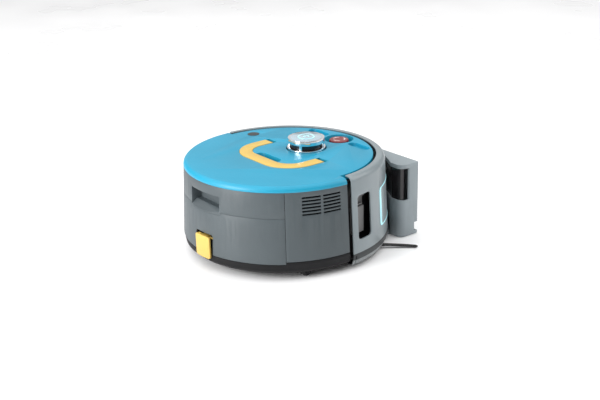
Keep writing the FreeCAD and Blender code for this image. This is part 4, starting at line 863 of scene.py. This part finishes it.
class ROBOT_OT_drop_sensors(bpy.types.Operator):
    """Drop-sensor windows under the front edge"""
    bl_idname = "robot.drop_sensors"
    bl_label = "Drop sensors"

    def execute(self, context):
        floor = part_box("brush_tunnel")[0].z
        let_go()
        bpy.ops.mesh.primitive_cube_add(size=1.0, location=(0, 0, floor + SENSOR_RAISED))
        item = bpy.context.object
        item.scale = SENSOR_SIZE
        bpy.ops.object.transform_apply(location=True, rotation=False, scale=True)
        started("sensor")
        pick("EDGE", lambda e: abs(e.verts[0].co.z - e.verts[1].co.z) > 0.002)
        bpy.ops.mesh.bevel(offset=SENSOR_CORNER, segments=6, affect="EDGES")
        pick("FACE", lambda f: f.normal.z < -0.9)
        bpy.ops.mesh.inset(thickness=SENSOR_FRAME, depth=0)
        pick("FACE", lambda f: f.normal.z < -0.9
             and max(abs(v.co.x) for v in f.verts) < SENSOR_SIZE[0] / 2 - SENSOR_FRAME + 0.0001)
        bpy.ops.mesh.extrude_region_move(TRANSFORM_OT_translate={"value": (0, 0, SENSOR_DEPTH)})
        bpy.ops.object.mode_set(mode="OBJECT")
        spots = []
        for x, y in SENSOR_SPOTS:
            turn = math.atan2(y, x) + math.pi / 2
            spots.append(Matrix.Translation(Vector((x * MM, y * MM, 0)))
                         @ Matrix.Rotation(turn, 4, "Z"))
        sensors = joined(copies(item, spots), "drop_sensor_windows")
        settle(sensors)
        dress(sensors, "chassis", "window_dark")
        return {"FINISHED"}


# ---------------------------------------------------------------- studio
CAMERA_AT = (-1.6285, 1.2032, 0.8605)
CAMERA_AIM = (0.7426, -0.5678, -0.3551)
CAMERA_ROLL = -0.0245
LENS = 59.3


SKY_STRENGTH = 0.30
CEILING_STRENGTH = 2.6
CEILING_SPREAD = 100    # angle of the ceiling light, in degrees
CEILING_TURN = (-8, 6)
FLOOR_HUE = (0.965, 0.965, 0.968)
SOFTBOXES = (           # name, place, aim, size in metres, watts
    ("softbox_left", (0.10, 2.0, 0.80), (0, 0.1, 0.1), (1.0, 1.2), 42),
    ("softbox_right", (-1.03, -1.48, 1.26), (-0.1, -0.1, 0.1), (1.6, 1.2), 16),
    ("softbox_back", (2.2, -1.6, 1.2), (0, 0, 0.2), (3.0, 1.5), 6),
)


def softbox(name, at, aim, size, power):
    lamp = bpy.data.lights.new(name, "AREA")
    lamp.shape = "RECTANGLE"
    lamp.size, lamp.size_y = size
    lamp.energy = power
    item = bpy.data.objects.new(name, lamp)
    item.location = at
    item.rotation_euler = (Vector(aim) - Vector(at)).to_track_quat("-Z", "Y").to_euler()
    item.visible_camera = False
    bpy.context.scene.collection.objects.link(item)
    return item


class ROBOT_OT_studio(bpy.types.Operator):
    """Pale floor, soft lights and the camera"""
    bl_idname = "robot.studio"
    bl_label = "Studio"

    def execute(self, context):
        scene = context.scene
        let_go()
        bpy.ops.mesh.primitive_plane_add(size=30, location=(0, 0, 0))
        floor = bpy.context.object
        floor.name = "studio_floor"
        tree, surface = finish("studio_paper", 0.30)
        tint(tree, surface, clouds(tree, 0.8, 2.0), FLOOR_HUE, 0.003)
        shine(tree, surface, clouds(tree, 0.3, 2.0), 0.26, 0.34)
        floor.data.materials.append(bpy.data.materials["studio_paper"])

        world = bpy.data.worlds.new("studio_sky")
        world.use_nodes = True
        sky = world.node_tree.nodes["Background"]
        sky.inputs["Color"].default_value = (1.0, 1.0, 1.0, 1)
        sky.inputs["Strength"].default_value = SKY_STRENGTH
        scene.world = world
        ceiling = bpy.data.lights.new("ceiling_glow", "SUN")
        ceiling.energy = CEILING_STRENGTH
        ceiling.angle = math.radians(CEILING_SPREAD)
        lamp = bpy.data.objects.new("ceiling_glow", ceiling)
        lamp.rotation_euler = (*[math.radians(turn) for turn in CEILING_TURN], 0)
        scene.collection.objects.link(lamp)
        for light in SOFTBOXES:
            softbox(*light)

        lens = bpy.data.cameras.new("camera")
        lens.sensor_width = 36.0
        lens.lens = LENS
        lens.clip_start, lens.clip_end = 0.05, 60.0
        camera = bpy.data.objects.new("camera", lens)
        aim = Vector(CAMERA_AIM).normalized()
        right = aim.cross(UP).normalized()
        top = right.cross(aim)
        turned_right = right * math.cos(CAMERA_ROLL) + top * math.sin(CAMERA_ROLL)
        turned_top = top * math.cos(CAMERA_ROLL) - right * math.sin(CAMERA_ROLL)
        axes = Matrix((turned_right, turned_top, -aim)).transposed().to_4x4()
        camera.matrix_world = Matrix.Translation(CAMERA_AT) @ axes
        scene.collection.objects.link(camera)
        scene.camera = camera
        scene.view_settings.view_transform = "Standard"
        return {"FINISHED"}


class ROBOT_PT_looks(bpy.types.Panel):
    """Everything that dresses the robot"""
    bl_idname = "ROBOT_PT_looks"
    bl_label = "Floor-cleaning robot"
    bl_space_type = "VIEW_3D"
    bl_region_type = "UI"
    bl_category = "Robot"

    def draw(self, context):
        for group in (context.scene.robot_colours, context.scene.robot_details):
            box = self.layout.box()
            for name in group.__annotations__:
                box.prop(group, name)
        for step in STEPS:
            self.layout.operator(step.bl_idname)


STEPS = (
    ROBOT_OT_finishes,
    ROBOT_OT_eased_edges,
    ROBOT_OT_side_brushes,
    ROBOT_OT_main_brush,
    ROBOT_OT_tyres,
    ROBOT_OT_power_mark,
    ROBOT_OT_stop_arrows,
    ROBOT_OT_screws,
    ROBOT_OT_drop_sensors,
    ROBOT_OT_studio,
)
CLASSES = (RobotColours, RobotDetails, *STEPS, ROBOT_PT_looks)


def register():
    for item in CLASSES:
        bpy.utils.register_class(item)
    bpy.types.Scene.robot_colours = PointerProperty(type=RobotColours)
    bpy.types.Scene.robot_details = PointerProperty(type=RobotDetails)


def unregister():
    del bpy.types.Scene.robot_details
    del bpy.types.Scene.robot_colours
    for item in reversed(CLASSES):
        bpy.utils.unregister_class(item)


def main():
    register()
    for step in STEPS:
        group, word = step.bl_idname.split(".")
        getattr(getattr(bpy.ops, group), word)()


if __name__ == "__main__":
    main()
